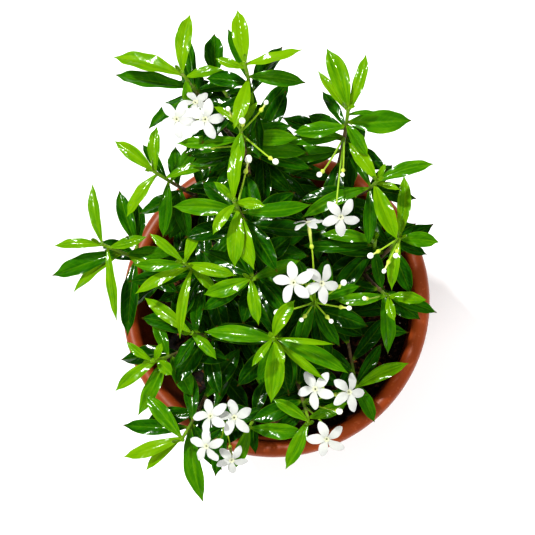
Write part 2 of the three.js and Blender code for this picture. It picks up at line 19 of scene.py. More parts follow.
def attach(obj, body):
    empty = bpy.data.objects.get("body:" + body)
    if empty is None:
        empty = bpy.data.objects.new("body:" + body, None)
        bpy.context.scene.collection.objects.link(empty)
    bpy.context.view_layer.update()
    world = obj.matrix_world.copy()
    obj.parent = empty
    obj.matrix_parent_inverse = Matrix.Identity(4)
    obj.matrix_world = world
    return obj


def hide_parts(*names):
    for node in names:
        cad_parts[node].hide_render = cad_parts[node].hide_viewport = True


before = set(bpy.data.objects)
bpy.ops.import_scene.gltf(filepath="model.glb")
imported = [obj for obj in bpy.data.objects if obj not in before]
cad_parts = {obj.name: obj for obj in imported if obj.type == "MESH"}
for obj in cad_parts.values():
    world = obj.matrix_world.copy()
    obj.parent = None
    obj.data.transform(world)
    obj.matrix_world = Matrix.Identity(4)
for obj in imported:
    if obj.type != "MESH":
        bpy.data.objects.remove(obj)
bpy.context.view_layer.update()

MM = 0.001
SHARP_ANGLE = 55

# Pot
RIM_RADIUS = 125
RIM_INNER_RADIUS = 112
POT_HEIGHT = 215
BAND_FOOT = 189
BAND_STEP = 4.5
BASE_RADIUS = 88
WALL = 3.2
FLOOR = 4
POT_SIDES = 144
DRAIN_HOLES = 5
DRAIN_RADIUS = 4.5
DRAIN_CIRCLE = 52
DRILL_SIDES = 24

# Potting mix
SOIL_TOP = 171
SOIL_GAP = 0.3
SOIL_RELIEF = 2.2
LUMP_X = 0.11
LUMP_Y = 0.13
SOIL_RINGS = 90
SOIL_SIDES = 200
CRUMB_HEIGHT = 3.2
CHIPS = 420
GRAINS = 130
CHIP_SEED = 7

# Wood
LEADER_RADIUS = 3.4
LEADER_TAPER = 0.75
TWIG_RADIUS = 1.8
TIP_RADIUS = 1.1
STEM_RISE = 4
BOW_OUT = 0.75
BOW_UP = 0.42
CURVE_STEPS = 200
WOOD_SIDES = 10
WOOD_STEPS = 48
JOINT_SWELL = 0.22
JOINT_LENGTH = 1.8
FORK_SWELL = 0.35
FORK_LENGTH = 2.5
FOOT_DEPTHS = [14, 6, 2, -1]
FOOT_RADII = [3.4, 3.3, 3.1, 2.8]

# Leaves
FIRST_NODE = 3
NODE_SPACING = 8
LEAF_STEP = 2.4
LOWER_NODE_SPACING = 29
LOWER_REACH = 43
LOWER_WIDTH = 13.5
LOWER_PITCH = 13
LOWER_DROOP = 5
LOWER_TURN = 20
REACH_SPREAD = 0.2
WIDTH_SPREAD = 0.15
# Lowest tone of the lower and inner leaves: old leaves, made darker still as painted shade deep in the bush
LOWER_TONE_OLD_AND_PAINTED_SHADE = 0.8
BARE_FOOT = 12
BARE_FORK = 4
ARCH = 0.12
SWAY = 0.05
ROLL = 16
BENDS = [0, 4, -4, 8, -8, 12, -12, 16, -16, 21, -21, 26, -26, 32, -32]
TIP_TOLERANCE = 0.05

# Leaves that fill the bush between the lower pairs: where their numbers start, how far out from the
# pot's axis and how low above the mix they may reach, and where their blade starts to count
INNER_SERIES = 400
INNER_RADIUS = 108
INNER_FLOOR = 8
OUTER_START = 0.3
OUTER_ROWS = 12

# Folded young leaves at the tip of every shoot
BUD_LEAF_SERIES = 800
BUD_LEAF_REACH = 4.2
BUD_LEAF_WIDTH = 3
BUD_LEAF_PITCH = 58

# Blades: how each is divided and shaped
VEINS = 9
STEPS_A_VEIN = 4
COLUMNS = np.array([-1, -0.82, -0.6, -0.38, -0.17, 0, 0.17, 0.38, 0.6, 0.82, 1])
VEIN_SWEEP = 1.5
VEIN_DEPTH = 0.13
FOLD = 0.3
WAVE = 0.06
BLADE_THICKNESS = 0.34
RIB_THICKNESS = 0.7
RIB_SPREAD = 0.55
PETIOLE_RADIUS = 0.6
BLADE_LEAN = 1.12
BLADE_FULLNESS = 0.8
DRIP_TIP = 0.5
LAST_ROW = 0.985
LAST_SHARE = 0.992

# Flowers, stalks and buds
TUBE_LENGTH = 16
TUBE_RADIUS = 1.1
THROAT_RADIUS = 2.1
THROAT_DEPTH = 3
THROAT_RISE = 0.7
TUBE_SIDES = 15
PETALS = 5
PETAL_WIDEST = 0.6
PETAL_THICKNESS = 0.34
PETAL_WIDTH = 0.5
PETAL_SWEEP = 0.14
PETAL_DISH = 0.3
PETAL_FALL = 1.3
STALK_RADIUS = 0.75
STALK_SIDES = 8
STALK_STEPS = 15
STALK_BOW = 10
CALYX_RADIUS = 1.6
CALYX_LENGTH = 3
SEAT_GAP = 0.3

# Camera: its target, distance and angle from upright, towards a compass angle
TARGET = (-4.19, 26.03, 215)
CAMERA_DISTANCE = 820
CAMERA_TILT = 12
CAMERA_COMPASS = -55
CAMERA_LENS = 68.22

# Studio, in metres: half the floor's side, and each lamp's name, place, size, power and whether shiny
# surfaces show it
FLOOR_HALF = 6
SKY_STRENGTH = 0.55
LAMP_AIM = (0, 0, 0.25)
LAMPS = [
    ["key", (-0.6, 0.6, 2.0), 0.14, 36, True],
    ["second", (0.9, -0.3, 1.9), 0.6, 14, False],
    ["third", (-0.5, -1.0, 1.7), 0.6, 10, False],
]

# Shoots: name, the shoot it grows from ("" for the soil), where it starts (a place on the soil,
# or a share of the parent's length), its tip, and its upper leaves, in one text for each node from
# the tip down. Each leaf is its compass angle, reach across, width, rise from root to tip, and tone
# from young to old; on leaves that lie in shade the dark tone is partly painted shade.
SHOOTS = [
    ["A", "", [-4, 34], [3, 130, 398],
     "10 39 8.5 4 0; 97 37 11.5 6 0; 161 21 6.5 2 0.1",
     "-7 39 10.5 -4 0.5; -104 37 10 -4 0.05; 111 43 8.5 -6 0.7; -95 33 11.5 -14 0.75; "
     "166 32 11 -6 0.75"],
    ["B", "A", 0.45, [-46, 138, 365],
     "82 42 11.5 4 0.1; 162 54 14 -2 0.1; 4 29 8.5 4 0.1; -86 20 8 -6 0.2",
     "165 62 13 -10 0.6; 100 43 8 -4 0.8; 12 32 9 -8 0.75; -152 44 11 -14 0.8"],
    ["D", "A", 0.6, [-28, 145, 335],
     "91 32 14.5 6 0.75; -134 23 9.5 -4 0.8",
     "-11 22 10 -6 0.85"],
    ["C", "", [-20, 26], [-4, 96, 372],
     "140 24 5 10 0.05; 48 20 5 10 0.05; 68 26 5.5 6 0.15; -98 27 9.5 -4 0.15",
     "-179 47 9.5 -6 0.4; 3 38 11.5 -6 0.35; 22 36 11 -10 0.8",
     "-2 44 12 -10 0.6; -172 42 11 -10 0.65"],
    ["R", "C", 0.35, [-72, 77, 335],
     "142 36 10 4 0.1; 88 33 9 4 0.1; -128 38 10 -6 0.1",
     "13 36 8.5 0 0.3; 125 36 8 -8 0.8; -98 41 10.5 -10 0.5; 58 36 11 -8 0.6",
     "98 34 11 -10 0.7; -82 38 12 -12 0.75; -114 38 12 -12 0.75"],
    ["G", "", [24, 30], [69, 104, 375],
     "108 44 13 4 0.25; 126 33 6.5 7 0.05; 71 40 8.5 8 0.05; 6 20 3.5 -4 0.5",
     "2 44 16 -6 0.45; -57 26 9.5 -6 0.3; -178 37 11.5 -6 0.4; 119 34 8 -8 0.85; 150 31 10.5 -14 0.8",
     "-176 40 12 -4 0.55",
     "",
     "-178 44 13 -6 0.65"],
    ["H", "G", 0.42, [87, 62, 345],
     "124 34 10 4 0.05; 16 41 10 0 0.4; 59 14 4 6 0.1; -20 18 5 4 0.1; -69 42 12.5 -4 0.1",
     "113 43 9 -8 0.75; -159 53 10.5 -8 0.4; -92 40 9.5 -10 0.75; 48 26 9 -8 0.9"],
    ["E", "", [2, 6], [-5, 40, 392],
     "84 37 9.5 4 0.05; 136 17 5 8 0.1; -11 21 7.5 6 0.1; -125 25 7.5 2 0.1",
     "-94 39 11.5 -4 0.1; -76 41 12.5 -2 0.15; 173 47 11.5 -6 0.4; 8 48 10.5 -12 0.45"],
    ["M", "E", 0.45, [0, -4, 345],
     "-81 32 9 -2 0.05; -163 35 11.5 -2 0.3",
     "20 35 9.5 -2 0.45; 106 38 9 -8 0.8"],
    ["N", "", [-32, 4], [-48, 10, 338],
     "140 31 7 6 0.1; 62 29 8.5 6 0.1; -15 38 9 4 0.1; 179 39 9 -2 0.35",
     "-155 44 8.5 0 0.1; -45 27 7.5 -2 0.2; -100 51 7.5 -4 0.05"],
    ["P", "N", 0.4, [-119, 32, 300],
     "99 46 9 6 0.15; 180 39 8 2 0.15; -85 55 8.5 -14 0.15; 14 30 9 2 0.2",
     "-164 58 15 -8 0.6; -144 49 9.5 -6 0.15; 0 36 10.5 -6 0.55; -25 23 6.5 2 0.1"],
    ["Q", "P", 0.62, [-96, 36, 282],
     "108 44 12 4 0.75; 92 36 11.5 -6 0.95",
     "-97 60 14 -8 0.85"],
    ["X", "", [-24, -20], [-50, -36, 300],
     "-45 27 8.5 2 0.2; 143 46 10 -2 0.15",
     "86 35 9.5 -8 0.85; -127 32 10 -8 0.8"],
    ["S", "X", 0.5, [-81, -55, 290],
     "144 24 6.5 4 0.1; 62 14 6 6 0.15; -44 16 10 -2 0.2; -145 40 9.5 -2 0.1",
     "-118 49 12 -8 0.4; 113 32 9.5 -2 0.5; -64 34 14 -12 0.6"],
    ["T", "X", 0.28, [-61, -112, 275],
     "131 43 12 2 0.35; -162 48 11 -2 0.05; -139 40 8 -6 0.05",
     "178 53 12 -6 0.75; -82 58 14.5 -14 0.4; -59 41 13.5 -16 0.9; 98 40 12 -6 0.75"],
    ["Z", "T", 0.5, [-28, -104, 258],
     "30 30 9 -4 0.85; -150 26 9 -8 0.85; -103 40 11 -12 0.85"],
    ["W", "", [6, -26], [16, -45, 352],
     "59 29 10 2 0.15; -126 24 5.5 4 0.1; -71 21 6 4 0.1; -6 41 4 -2 0.1",
     "-95 43 13.5 -6 0.15; 173 51 11.5 -4 0.3; -25 54 11.5 -14 0.45; -40 43 6.5 -10 0.1; "
     "-118 32 9.5 -12 0.5"],
    ["U", "W", 0.2, [-13, -104, 262],
     "-5 42 12 0 0.35; -112 35 10 -6 0.35",
     "-90 27 7.5 -10 0.85; 73 29 10.5 -4 0.85"],
    ["V", "W", 0.28, [33, -100, 268],
     "148 31 9 2 0.3; -116 40 11 -6 0.3; 21 32 9.5 2 0.3",
     "-146 31 10.5 -10 0.8"],
    ["J", "", [32, 4], [102, 28, 318],
     "-100 37 8.5 -6 0.15; -5 28 11 -4 0.4; 84 46 10 4 0.1",
     "-17 24 8 -8 0.8"],
    ["K", "J", 0.45, [93, -10, 290],
     "-78 19 7 4 0.1; -8 28 9.5 2 0.2; -177 39 9.5 -2 0.35",
     "-20 41 10.5 -8 0.8; -87 45 11.5 -10 0.55"],
    ["O", "J", 0.55, [84, 30, 300],
     "171 40 9.5 -2 0.4",
     "177 55 10 -10 0.7; -81 32 9 -8 0.8"],
    ["L", "J", 0.2, [67, -74, 238],
     "24 44 11 2 0.25; 58 38 9.5 -4 0.85; -65 33 11 -8 0.5",
     "144 35 11 -6 0.85"],
    ["Y", "", [26, -10], [42, -18, 330],
     "20 34 9 -4 0.6; -110 34 10 -6 0.7",
     "110 36 10 -8 0.8; -60 34 10 -10 0.8"],
]

# Open flowers: the shoot that carries each, how far below its tip the stalk leaves it, the middle
# of the face, the compass angle and height it looks towards, its turn and its width.
FLOWERS = [
    ["B", 34, [-49, 105, 362], [-120, 72], 10, 29],
    ["B", 34, [-28, 102, 368], [-60, 74], 40, 28],
    ["B", 34, [-37, 118, 357], [70, 70], 25, 23],
    ["G", 40, [62, 35, 354], [-70, 60], 29, 27],
    ["Y", 16, [40, 33, 348], [95, 32], 36, 24],
    ["Y", 8, [31, -10, 362], [-150, 74], 5, 29],
    ["Y", 8, [49, -10, 356], [-10, 58], 50, 28],
    ["V", 26, [41, -77, 312], [-150, 76], 30, 28],
    ["V", 26, [64, -79, 306], [5, 54], 42, 28],
    ["V", 22, [46, -111, 272], [-80, 68], 20, 29],
    ["Z", 12, [-34, -95, 303], [140, 72], 15, 27],
    ["Z", 12, [-18, -96, 297], [30, 72], 45, 28],
    ["Z", 12, [-39, -116, 290], [-140, 68], 60, 27],
    ["Z", 12, [-23, -126, 276], [-70, 55], 30, 25],
]

# Buds: the shoot, how far below its tip the stalk leaves it, the bud's middle and its radius.
BUDS = [
    ["E", 16, [4, 68, 385], 2.4], ["C", 14, [21, 68, 378], 2.1], ["G", 40, [49, 61, 368], 1.9],
    ["G", 40, [64, 62, 362], 1.5], ["C", 30, [-33, 87, 352], 1.8], ["C", 10, [0, 94, 386], 2.2],
    ["C", 10, [-10, 104, 382], 1.6], ["C", 10, [15, 108, 380], 1.6], ["Y", 8, [18, -27, 341], 2.4],
    ["Y", 8, [63, -8, 345], 2.1], ["Y", 8, [66, -24, 336], 1.7], ["Y", 8, [54, -33, 338], 1.6],
    ["Y", 8, [34, -32, 340], 1.6], ["K", 14, [76, -15, 318], 1.6], ["J", 1, [81, 13, 329], 2.1],
    ["J", 1, [90, 3, 324], 1.6], ["J", 1, [98, 12, 332], 1.8], ["V", 26, [57, -92, 303], 2.4],
]

UP = np.array([0.0, 0.0, 1.0])


def share(k, step):
    """A repeatable share from 0 to 1 for item k, different for each step."""
    return (k * step) % 1


def swing(k, step):
    """The same, from -1 to 1."""
    return 2 * share(k, step) - 1


def unit(vectors):
    return vectors / np.maximum(np.linalg.norm(vectors, axis=-1, keepdims=True), 1e-12)


def smooth(low, high, value):
    """0 below low, 1 above high, and a smooth rise between them."""
    x = np.clip((value - low) / (high - low), 0, 1)
    return x * x * (3 - 2 * x)


def level_ways(compass):
    """The level direction at a compass angle in degrees, and the one to its left."""
    a = math.radians(compass)
    return np.array([math.cos(a), math.sin(a), 0]), np.array([-math.sin(a), math.cos(a), 0])


def round_angles(count):
    return 2 * math.pi * np.arange(count) / count


# Meshes

def add_object(name, data):
    made = bpy.data.objects.new(name, data)
    bpy.context.scene.collection.objects.link(made)
    return made


def new_piece(name, points, faces, attributes, material, replaced=()):
    """An object of the root body from points in millimetres, with a vector for each point."""
    mesh = bpy.data.meshes.new(name)
    mesh.from_pydata((np.asarray(points) * MM).tolist(), [], faces)
    for attribute, values in attributes.items():
        layer = mesh.attributes.new(attribute, "FLOAT_VECTOR", "POINT")
        layer.data.foreach_set("vector", np.asarray(values, np.float32).ravel())
    mesh.validate()
    mesh.shade_smooth()
    mesh.set_sharp_from_angle(angle=math.radians(SHARP_ANGLE))
    mesh.materials.append(material)
    piece = add_object(name, mesh)
    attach(piece, "root")
    if replaced:
        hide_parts(*replaced)
    return piece


class Gathered:
    """Points, faces and attributes of many small forms that make up one piece."""

    def __init__(self, *attributes):
        self.points = []
        self.faces = []
        self.values = {name: [] for name in attributes}
        self.count = 0

    def add(self, points, faces, **values):
        self.points.append(points)
        self.faces.extend([tuple(i + self.count for i in face) for face in faces])
        for name, value in values.items():
            self.values[name].append(np.broadcast_to(value, (len(points), 3)))
        self.count += len(points)

    def add_tube(self, points, radii, sides, **values):
        """Adds a tube, with a value for each of its rings."""
        made, faces = tube(points, radii, sides)
        self.add(made, faces, **{name: np.repeat(value, sides)[:, None] for name, value in values.items()})

    def make(self, name, material, slot, replaced=()):
        values = {key: np.concatenate(value) for key, value in self.values.items()}
        return new_piece(name, np.concatenate(self.points), self.faces, values, material, replaced)


def grid_faces(rows, columns, closed=False):
    """Quads of a grid whose points run along each row; a closed one joins its last column to its first."""
    faces = []
    for i in range(rows - 1):
        for j in range(columns if closed else columns - 1):
            a = i * columns + j
            b = i * columns + (j + 1) % columns
            faces.append((a, b, b + columns, a + columns))
    return faces


def tube_faces(rings, sides):
    """Faces of a tube of rings, closed at both ends."""
    last = (rings - 1) * sides
    ends = [tuple(range(sides))[::-1], tuple(range(last, last + sides))]
    return grid_faces(rings, sides, closed=True) + ends


def shell(upper, lower, tip):
    """A closed thin form from its upper and lower rows of points, which share side edges, and a tip."""
    rows, columns = upper.shape[:2]
    top = np.arange(rows * columns).reshape(rows, columns)
    under = top.copy()
    under[:, 1:-1] = rows * columns + np.arange(rows * (columns - 2)).reshape(rows, columns - 2)
    points = np.concatenate([upper.reshape(-1, 3), lower[:, 1:-1].reshape(-1, 3), [tip]])
    last = len(points) - 1
    faces = []
    for i in range(rows - 1):
        for j in range(columns - 1):
            faces.append((top[i, j], top[i, j + 1], top[i + 1, j + 1], top[i + 1, j]))
            faces.append((under[i + 1, j], under[i + 1, j + 1], under[i, j + 1], under[i, j]))
    for j in range(columns - 1):
        faces.append((top[-1, j], top[-1, j + 1], last))
        faces.append((under[-1, j + 1], under[-1, j], last))
    faces.append(tuple(top[0, ::-1]) + tuple(under[0, 1:-1]))
    return points, faces


def shell_values(upper, at_tip, lower=None):
    """A value for each point of a shell, from those of its upper and lower rows."""
    lower = upper if lower is None else lower
    return np.concatenate([upper.ravel(), lower[:, 1:-1].ravel(), [at_tip]])


def tube(points, radii, sides):
    """A closed tube along points, with a radius at each."""
    points = np.asarray(points, float)
    along = unit(np.gradient(points, axis=0))
    across = np.cross(np.array([0.0, 1.0, 0.0]), along)
    if np.linalg.norm(across, axis=1).min() < 0.2:
        across = np.cross(np.array([1.0, 0.0, 0.0]), along)
    across = unit(across)
    other = np.cross(along, across)
    radii = np.asarray(radii)[:, None, None]
    angles = round_angles(sides)[:, None]
    rings = (points[:, None] + across[:, None] * (radii * np.cos(angles))
             + other[:, None] * (radii * np.sin(angles)))
    return rings.reshape(-1, 3), tube_faces(len(points), sides)


# Node materials

def linear(red, green, blue):
    """A colour on screen, 0 to 255, as the linear colour that a shader takes."""
    channels = [c / 255 for c in (red, green, blue)]
    return tuple(c / 12.92 if c <= 0.04045 else ((c + 0.055) / 1.055) ** 2.4 for c in channels) + (1,)


class Shader:
    """A material with one Principled shader. Most methods add a node and return its output."""

    def __init__(self, name, **settings):
        self.material = bpy.data.materials.new(name)
        self.material.use_nodes = True
        self.tree = self.material.node_tree
        self.principled = self.tree.nodes["Principled BSDF"]
        for key, value in settings.items():
            self.principled.inputs[key.replace("_", " ")].default_value = value

    def feed(self, socket, value):
        """Links a node's output to a socket, or sets the socket to a plain value."""
        if isinstance(value, bpy.types.NodeSocket):
            self.tree.links.new(value, socket)
        else:
            socket.default_value = value

    def node(self, kind, inputs=(), **properties):
        made = self.tree.nodes.new(f"ShaderNode{kind}")
        for key, value in properties.items():
            setattr(made, key, value)
        for key, value in dict(inputs).items():
            self.feed(made.inputs[key], value)
        return made

    def attribute(self, name):
        """The three numbers of a mesh attribute."""
        read = self.node("Attribute", attribute_name=name)
        return tuple(self.node("SeparateXYZ", {0: read.outputs["Vector"]}).outputs)

    def place(self):
        return self.node("TexCoord").outputs["Object"]

    def noise(self, size, detail=3.0, stretch=(1, 1, 1)):
        """Cloudy noise whose lumps are about size millimetres wide."""
        vector = self.node("VectorMath", {0: self.place(), 1: stretch}, operation="MULTIPLY")
        inputs = {"Vector": vector.outputs[0], "Scale": 1 / (size * MM), "Detail": detail}
        return self.node("TexNoise", inputs).outputs[0]

    def streaks(self, along, across, series):
        """Noise drawn out along a blade, different for each series."""
        sized = ((across, 3.2), (along, 2.2), (series, 37.0))
        parts = [self.math("MULTIPLY", part, size) for part, size in sized]
        vector = self.node("CombineXYZ", dict(enumerate(parts))).outputs[0]
        return self.node("TexNoise", {"Vector": vector, "Scale": 1.0, "Detail": 3.0}).outputs[0]

    def cells(self, size):
        """A random number for each grain about size millimetres wide."""
        inputs = {"Vector": self.place(), "Scale": 1 / (size * MM)}
        colour = self.node("TexVoronoi", inputs).outputs["Color"]
        return self.node("SeparateXYZ", {0: colour}).outputs[0]

    def math(self, operation, *values):
        return self.node("Math", dict(enumerate(values)), operation=operation).outputs[0]

    def between(self, value, low, high, to_low=0.0, to_high=1.0):
        """A smooth change from to_low to to_high while value goes from low to high."""
        inputs = dict(enumerate((value, low, high, to_low, to_high)))
        return self.node("MapRange", inputs, interpolation_type="SMOOTHSTEP").outputs[0]

    def ramp(self, value, stops):
        """A colour for a value, from stops: a place and the red, green and blue on screen."""
        made = self.node("ValToRGB", {0: value})
        elements = made.color_ramp.elements
        while len(elements) < len(stops):
            elements.new(0.5)
        for element, (place, *colour) in zip(elements, stops):
            element.position = place
            element.color = linear(*colour)
        return made.outputs[0]

    def mix(self, colour, other, mask, strength=None):
        """A colour with another, given as on screen, mixed in by a mask and its strength."""
        factor = mask if strength is None else self.math("MULTIPLY", mask, strength)
        return self.node("Mix", {0: factor, 6: colour, 7: linear(*other)}, data_type="RGBA").outputs[2]

    def bump(self, height, distance, strength=1.0, normal=None):
        """Relief of a height in millimetres, on top of another relief if there is one."""
        inputs = {"Height": height, "Distance": distance * MM, "Strength": strength}
        if normal is not None:
            inputs["Normal"] = normal
        return self.node("Bump", inputs).outputs[0]

    def finish(self, colour, roughness, normal=None):
        """Feeds the shader and returns the material."""
        for key, value in (("Base Color", colour), ("Roughness", roughness), ("Normal", normal)):
            if value is not None:
                self.feed(self.principled.inputs[key], value)
        return self.material


def leaf_material():
    """Glossy leaf: its green goes with age and, on leaves deep in the bush, with painted shade; pale
    veins and margin, a brown tip on some old ones and a duller underside."""
    shader = Shader("leaf", Specular_IOR_Level=0.36)
    along, across, age = shader.attribute("blade")
    vein, top, tint = shader.attribute("mark")
    side = shader.math("ABSOLUTE", across)
    patches = shader.math("MULTIPLY_ADD", shader.noise(14, 3), 0.4, -0.2)
    streaks = shader.between(shader.streaks(along, across, tint), 0.3, 0.7, -0.14, 0.14)
    older = shader.math("ADD", patches, streaks)
    # Tone: age, patches, streaks and tint. Its dark end, given to lower, inner and listed dark leaves, is
    # partly painted shade.
    tone = shader.math("ADD", shader.math("ADD", age, older), shader.math("MULTIPLY", tint, 0.07))
    colour = shader.ramp(tone, [
        (0.0, 98, 137, 1), (0.2, 79, 124, 1), (0.42, 55, 106, 1),
        (0.66, 38, 90, 1), (0.85, 22, 70, 1), (1.0, 11, 50, 1),
    ])
    distance = shader.math("ABSOLUTE", shader.math("SUBTRACT", shader.math("FRACT", vein), 0.5))
    side_vein = shader.math("MULTIPLY", shader.between(distance, 0.36, 0.5),
                            shader.between(side, 0.95, 0.3))
    dry = shader.math("MULTIPLY", shader.between(along, 0.93, 0.98), shader.between(tone, 0.3, 0.6))
    colour = shader.mix(colour, (140, 176, 20), side_vein, 0.05)
    colour = shader.mix(colour, (130, 164, 20), shader.between(side, 0.1, 0.03), 0.1)
    colour = shader.mix(colour, (140, 170, 30), shader.between(side, 0.92, 1.0), 0.2)
    colour = shader.mix(colour, (120, 150, 24), shader.between(along, 0.12, 0.03), 0.5)
    colour = shader.mix(colour, (70, 46, 16), dry, 0.8)
    colour = shader.mix(colour, (98, 134, 36), shader.between(top, 0.5, 0.4, 0, 0.5))
    roughness = shader.math("ADD", shader.between(top, 0.4, 0.6, 0.5, 0.14),
                            shader.math("MULTIPLY", shader.noise(3, 2), 0.1))
    pores = shader.bump(shader.noise(0.8, 3), 0.03, 0.3)
    cushions = shader.bump(shader.noise(4.5, 1), 0.6, 0.5, pores)
    return shader.finish(colour, roughness, cushions)


def bark_material():
    """Thin bark: green on young wood, then grey-brown with pale pores and fine ridges."""
    shader = Shader("bark", Specular_IOR_Level=0.35)
    age, _, _ = shader.attribute("wood")
    patches = shader.math("MULTIPLY", shader.math("SUBTRACT", shader.noise(5, 4), 0.5), 0.5)
    colour = shader.ramp(shader.math("ADD", age, patches), [
        (0.0, 120, 160, 30), (0.3, 92, 122, 34), (0.55, 98, 84, 50),
        (0.8, 112, 92, 66), (1.0, 84, 66, 46),
    ])
    colour = shader.mix(colour, (176, 160, 120), shader.between(shader.cells(1.6), 0.9, 0.95), 0.5)
    ridges = shader.noise(1.2, 4, (1, 1, 0.25))
    return shader.finish(colour, 0.62, shader.bump(ridges, 0.5, 0.6))


def stalk_material():
    """Flower stalks, calyces and buds: fresh green, through yellow-green, to a creamy white bud."""
    shader = Shader("stalk", Specular_IOR_Level=0.4)
    ripe, _, _ = shader.attribute("ripe")
    colour = shader.ramp(ripe, [
        (0.0, 104, 150, 20), (0.4, 158, 186, 40), (0.6, 196, 208, 90),
        (0.8, 226, 232, 180), (1.0, 246, 246, 232),
    ])
    patches = shader.noise(2, 3)
    colour = shader.mix(colour, (110, 140, 30), shader.between(patches, 0.5, 0.75, 0, 0.2))
    return shader.finish(colour, 0.42, shader.bump(patches, 0.2, 0.4))


def petal_material():
    """Soft white petal, tinged yellow-green at the throat and green along the tube."""
    shader = Shader("petal", Specular_IOR_Level=0.3, Sheen_Weight=0.12)
    out, across, _ = shader.attribute("petal")
    colour = shader.ramp(out, [
        (0.0, 128, 156, 30), (0.28, 190, 198, 96), (0.4, 214, 216, 150),
        (0.52, 180, 182, 156), (0.58, 182, 184, 176), (1.0, 188, 189, 186),
    ])
    place = shader.node("CombineXYZ", {0: across, 1: out}).outputs[0]
    wave = {"Vector": place, "Scale": 4.0, "Distortion": 1.2, "Detail": 2.0}
    lines = shader.node("TexWave", wave).outputs["Fac"]
    colour = shader.mix(colour, (214, 220, 205), lines, 0.05)
    crepe = shader.bump(shader.noise(1.2, 3), 0.12, 0.5)
    return shader.finish(colour, 0.55, shader.bump(lines, 0.12, 0.5, crepe))


def pot_material():
    """Reddish-brown moulded plastic: satin, lightly mottled and scuffed, with soil stains and painted shade
    darkening its inner wall.
    """
    shader = Shader("pot_plastic", Specular_IOR_Level=0.42)
    inside, _, _ = shader.attribute("wall")
    clouds = shader.noise(38, 5)
    colour = shader.ramp(clouds, [(0.3, 128, 55, 17), (0.52, 137, 61, 19), (0.72, 146, 67, 22)])
    colour = shader.mix(colour, (190, 112, 72), shader.between(shader.cells(1.3), 0.93, 0.97), 0.2)
    scuffs = shader.between(shader.noise(7, 6, (1, 1, 3)), 0.62, 0.74)
    colour = shader.mix(colour, (190, 104, 66), scuffs, 0.25)
    # Painted shade with some soil stain: the inner wall goes nearly black below the rim
    stain_and_painted_shade = shader.math("MULTIPLY", inside, shader.between(shader.noise(12, 5), 0.25, 0.7, 0.7, 1))
    colour = shader.mix(colour, (26, 11, 6), stain_and_painted_shade)
    roughness = shader.math("ADD", shader.between(clouds, 0.3, 0.7, 0.42, 0.52),
                            shader.math("MULTIPLY", scuffs, 0.2))
    grain = shader.bump(shader.noise(0.7, 2), 0.06, 0.5)
    return shader.finish(colour, roughness, shader.bump(shader.noise(20, 3), 0.5, 0.3, grain))


def soil_material():
    """Dark damp potting mix with crumbs of several browns."""
    shader = Shader("potting_mix", Specular_IOR_Level=0.3)
    crumbs = shader.cells(1.8)
    colour = shader.ramp(crumbs, [
        (0.0, 12, 8, 5), (0.5, 28, 18, 11), (0.8, 52, 34, 20), (1.0, 88, 60, 36),
    ])
    damp = shader.noise(22, 4)
    colour = shader.mix(colour, (10, 7, 5), shader.between(damp, 0.4, 0.65, 0, 0.7))
    roughness = shader.between(damp, 0.4, 0.65, 0.85, 0.6)
    fine = shader.bump(shader.noise(1.1, 5), 0.8, 0.9)
    return shader.finish(colour, roughness, shader.bump(crumbs, 0.7, 0.7, fine))


def chip_material():
    """Bark chips and pale grains on the mix: each has its own brown, with fibres along it."""
    shader = Shader("bark_chips", Specular_IOR_Level=0.3)
    brown, _, _ = shader.attribute("chip")
    colour = shader.ramp(brown, [
        (0.0, 30, 17, 9), (0.35, 74, 42, 22), (0.6, 124, 76, 40),
        (0.85, 168, 112, 64), (1.0, 206, 196, 176),
    ])
    fibres = shader.noise(1.5, 5, (1, 0.4, 1))
    colour = shader.mix(colour, (36, 22, 13), shader.between(fibres, 0.45, 0.7, 0, 0.6))
    return shader.finish(colour, 0.75, shader.bump(fibres, 0.6, 0.8))


def floor_material():
    shader = Shader("floor", Specular_IOR_Level=0.1)
    grey = shader.between(shader.noise(400, 2), 0.3, 0.7, 0.90, 0.92)
    colour = shader.node("CombineColor", {0: grey, 1: grey, 2: grey}).outputs[0]
    return shader.finish(colour, 0.9)


# Layout of the plant

class Curve:
    """A quadratic curve, with points by share and by distance below its end."""

    def __init__(self, start, bow, end):
        self.start, self.bow, self.end = (np.array(p, float) for p in (start, bow, end))
        self.shares = np.linspace(0, 1, CURVE_STEPS + 1)
        steps = np.linalg.norm(np.diff(self.at(self.shares), axis=0), axis=1)
        self.lengths = np.concatenate([[0], np.cumsum(steps)])
        self.length = self.lengths[-1]

    def at(self, t):
        t = np.asarray(t, float)[..., None]
        return (1 - t) ** 2 * self.start + 2 * t * (1 - t) * self.bow + t ** 2 * self.end

    def below(self, distance):
        return self.at(np.interp(max(0, self.length - distance), self.lengths, self.shares))


def shoot_line(start, tip):
    start, tip = np.array(start, float), np.array(tip, float)
    bow = start + (tip - start) * BOW_OUT
    bow[2] = start[2] + (tip[2] - start[2]) * BOW_UP
    return Curve(start, bow, tip)


def read_shoots():
    shoots = {}
    for name, parent, origin, tip, *nodes in SHOOTS:
        carrier = shoots.get(parent)
        start = carrier.line.at(origin) if carrier else [*origin, SOIL_TOP + STEM_RISE]
        leaves = [[node, *map(float, leaf.split())]
                  for node, listed in enumerate(nodes) for leaf in listed.split(";") if leaf]
        shoots[name] = SimpleNamespace(
            line=shoot_line(start, tip), leaves=leaves, stem=carrier.stem if carrier else name,
            foot=None if carrier else origin)
    return shoots


def first_lower_node(shoot):
    """How far below a shoot's tip its lower leaves start."""
    return FIRST_NODE + 2 * NODE_SPACING + LEAF_STEP * len(shoot.leaves)


def new_leaf(shoot, root, compass, reach, width, pitch, age):
    return SimpleNamespace(stem=shoot.stem, root=root, compass=compass, reach=reach, width=width,
                           pitch=pitch, age=age)


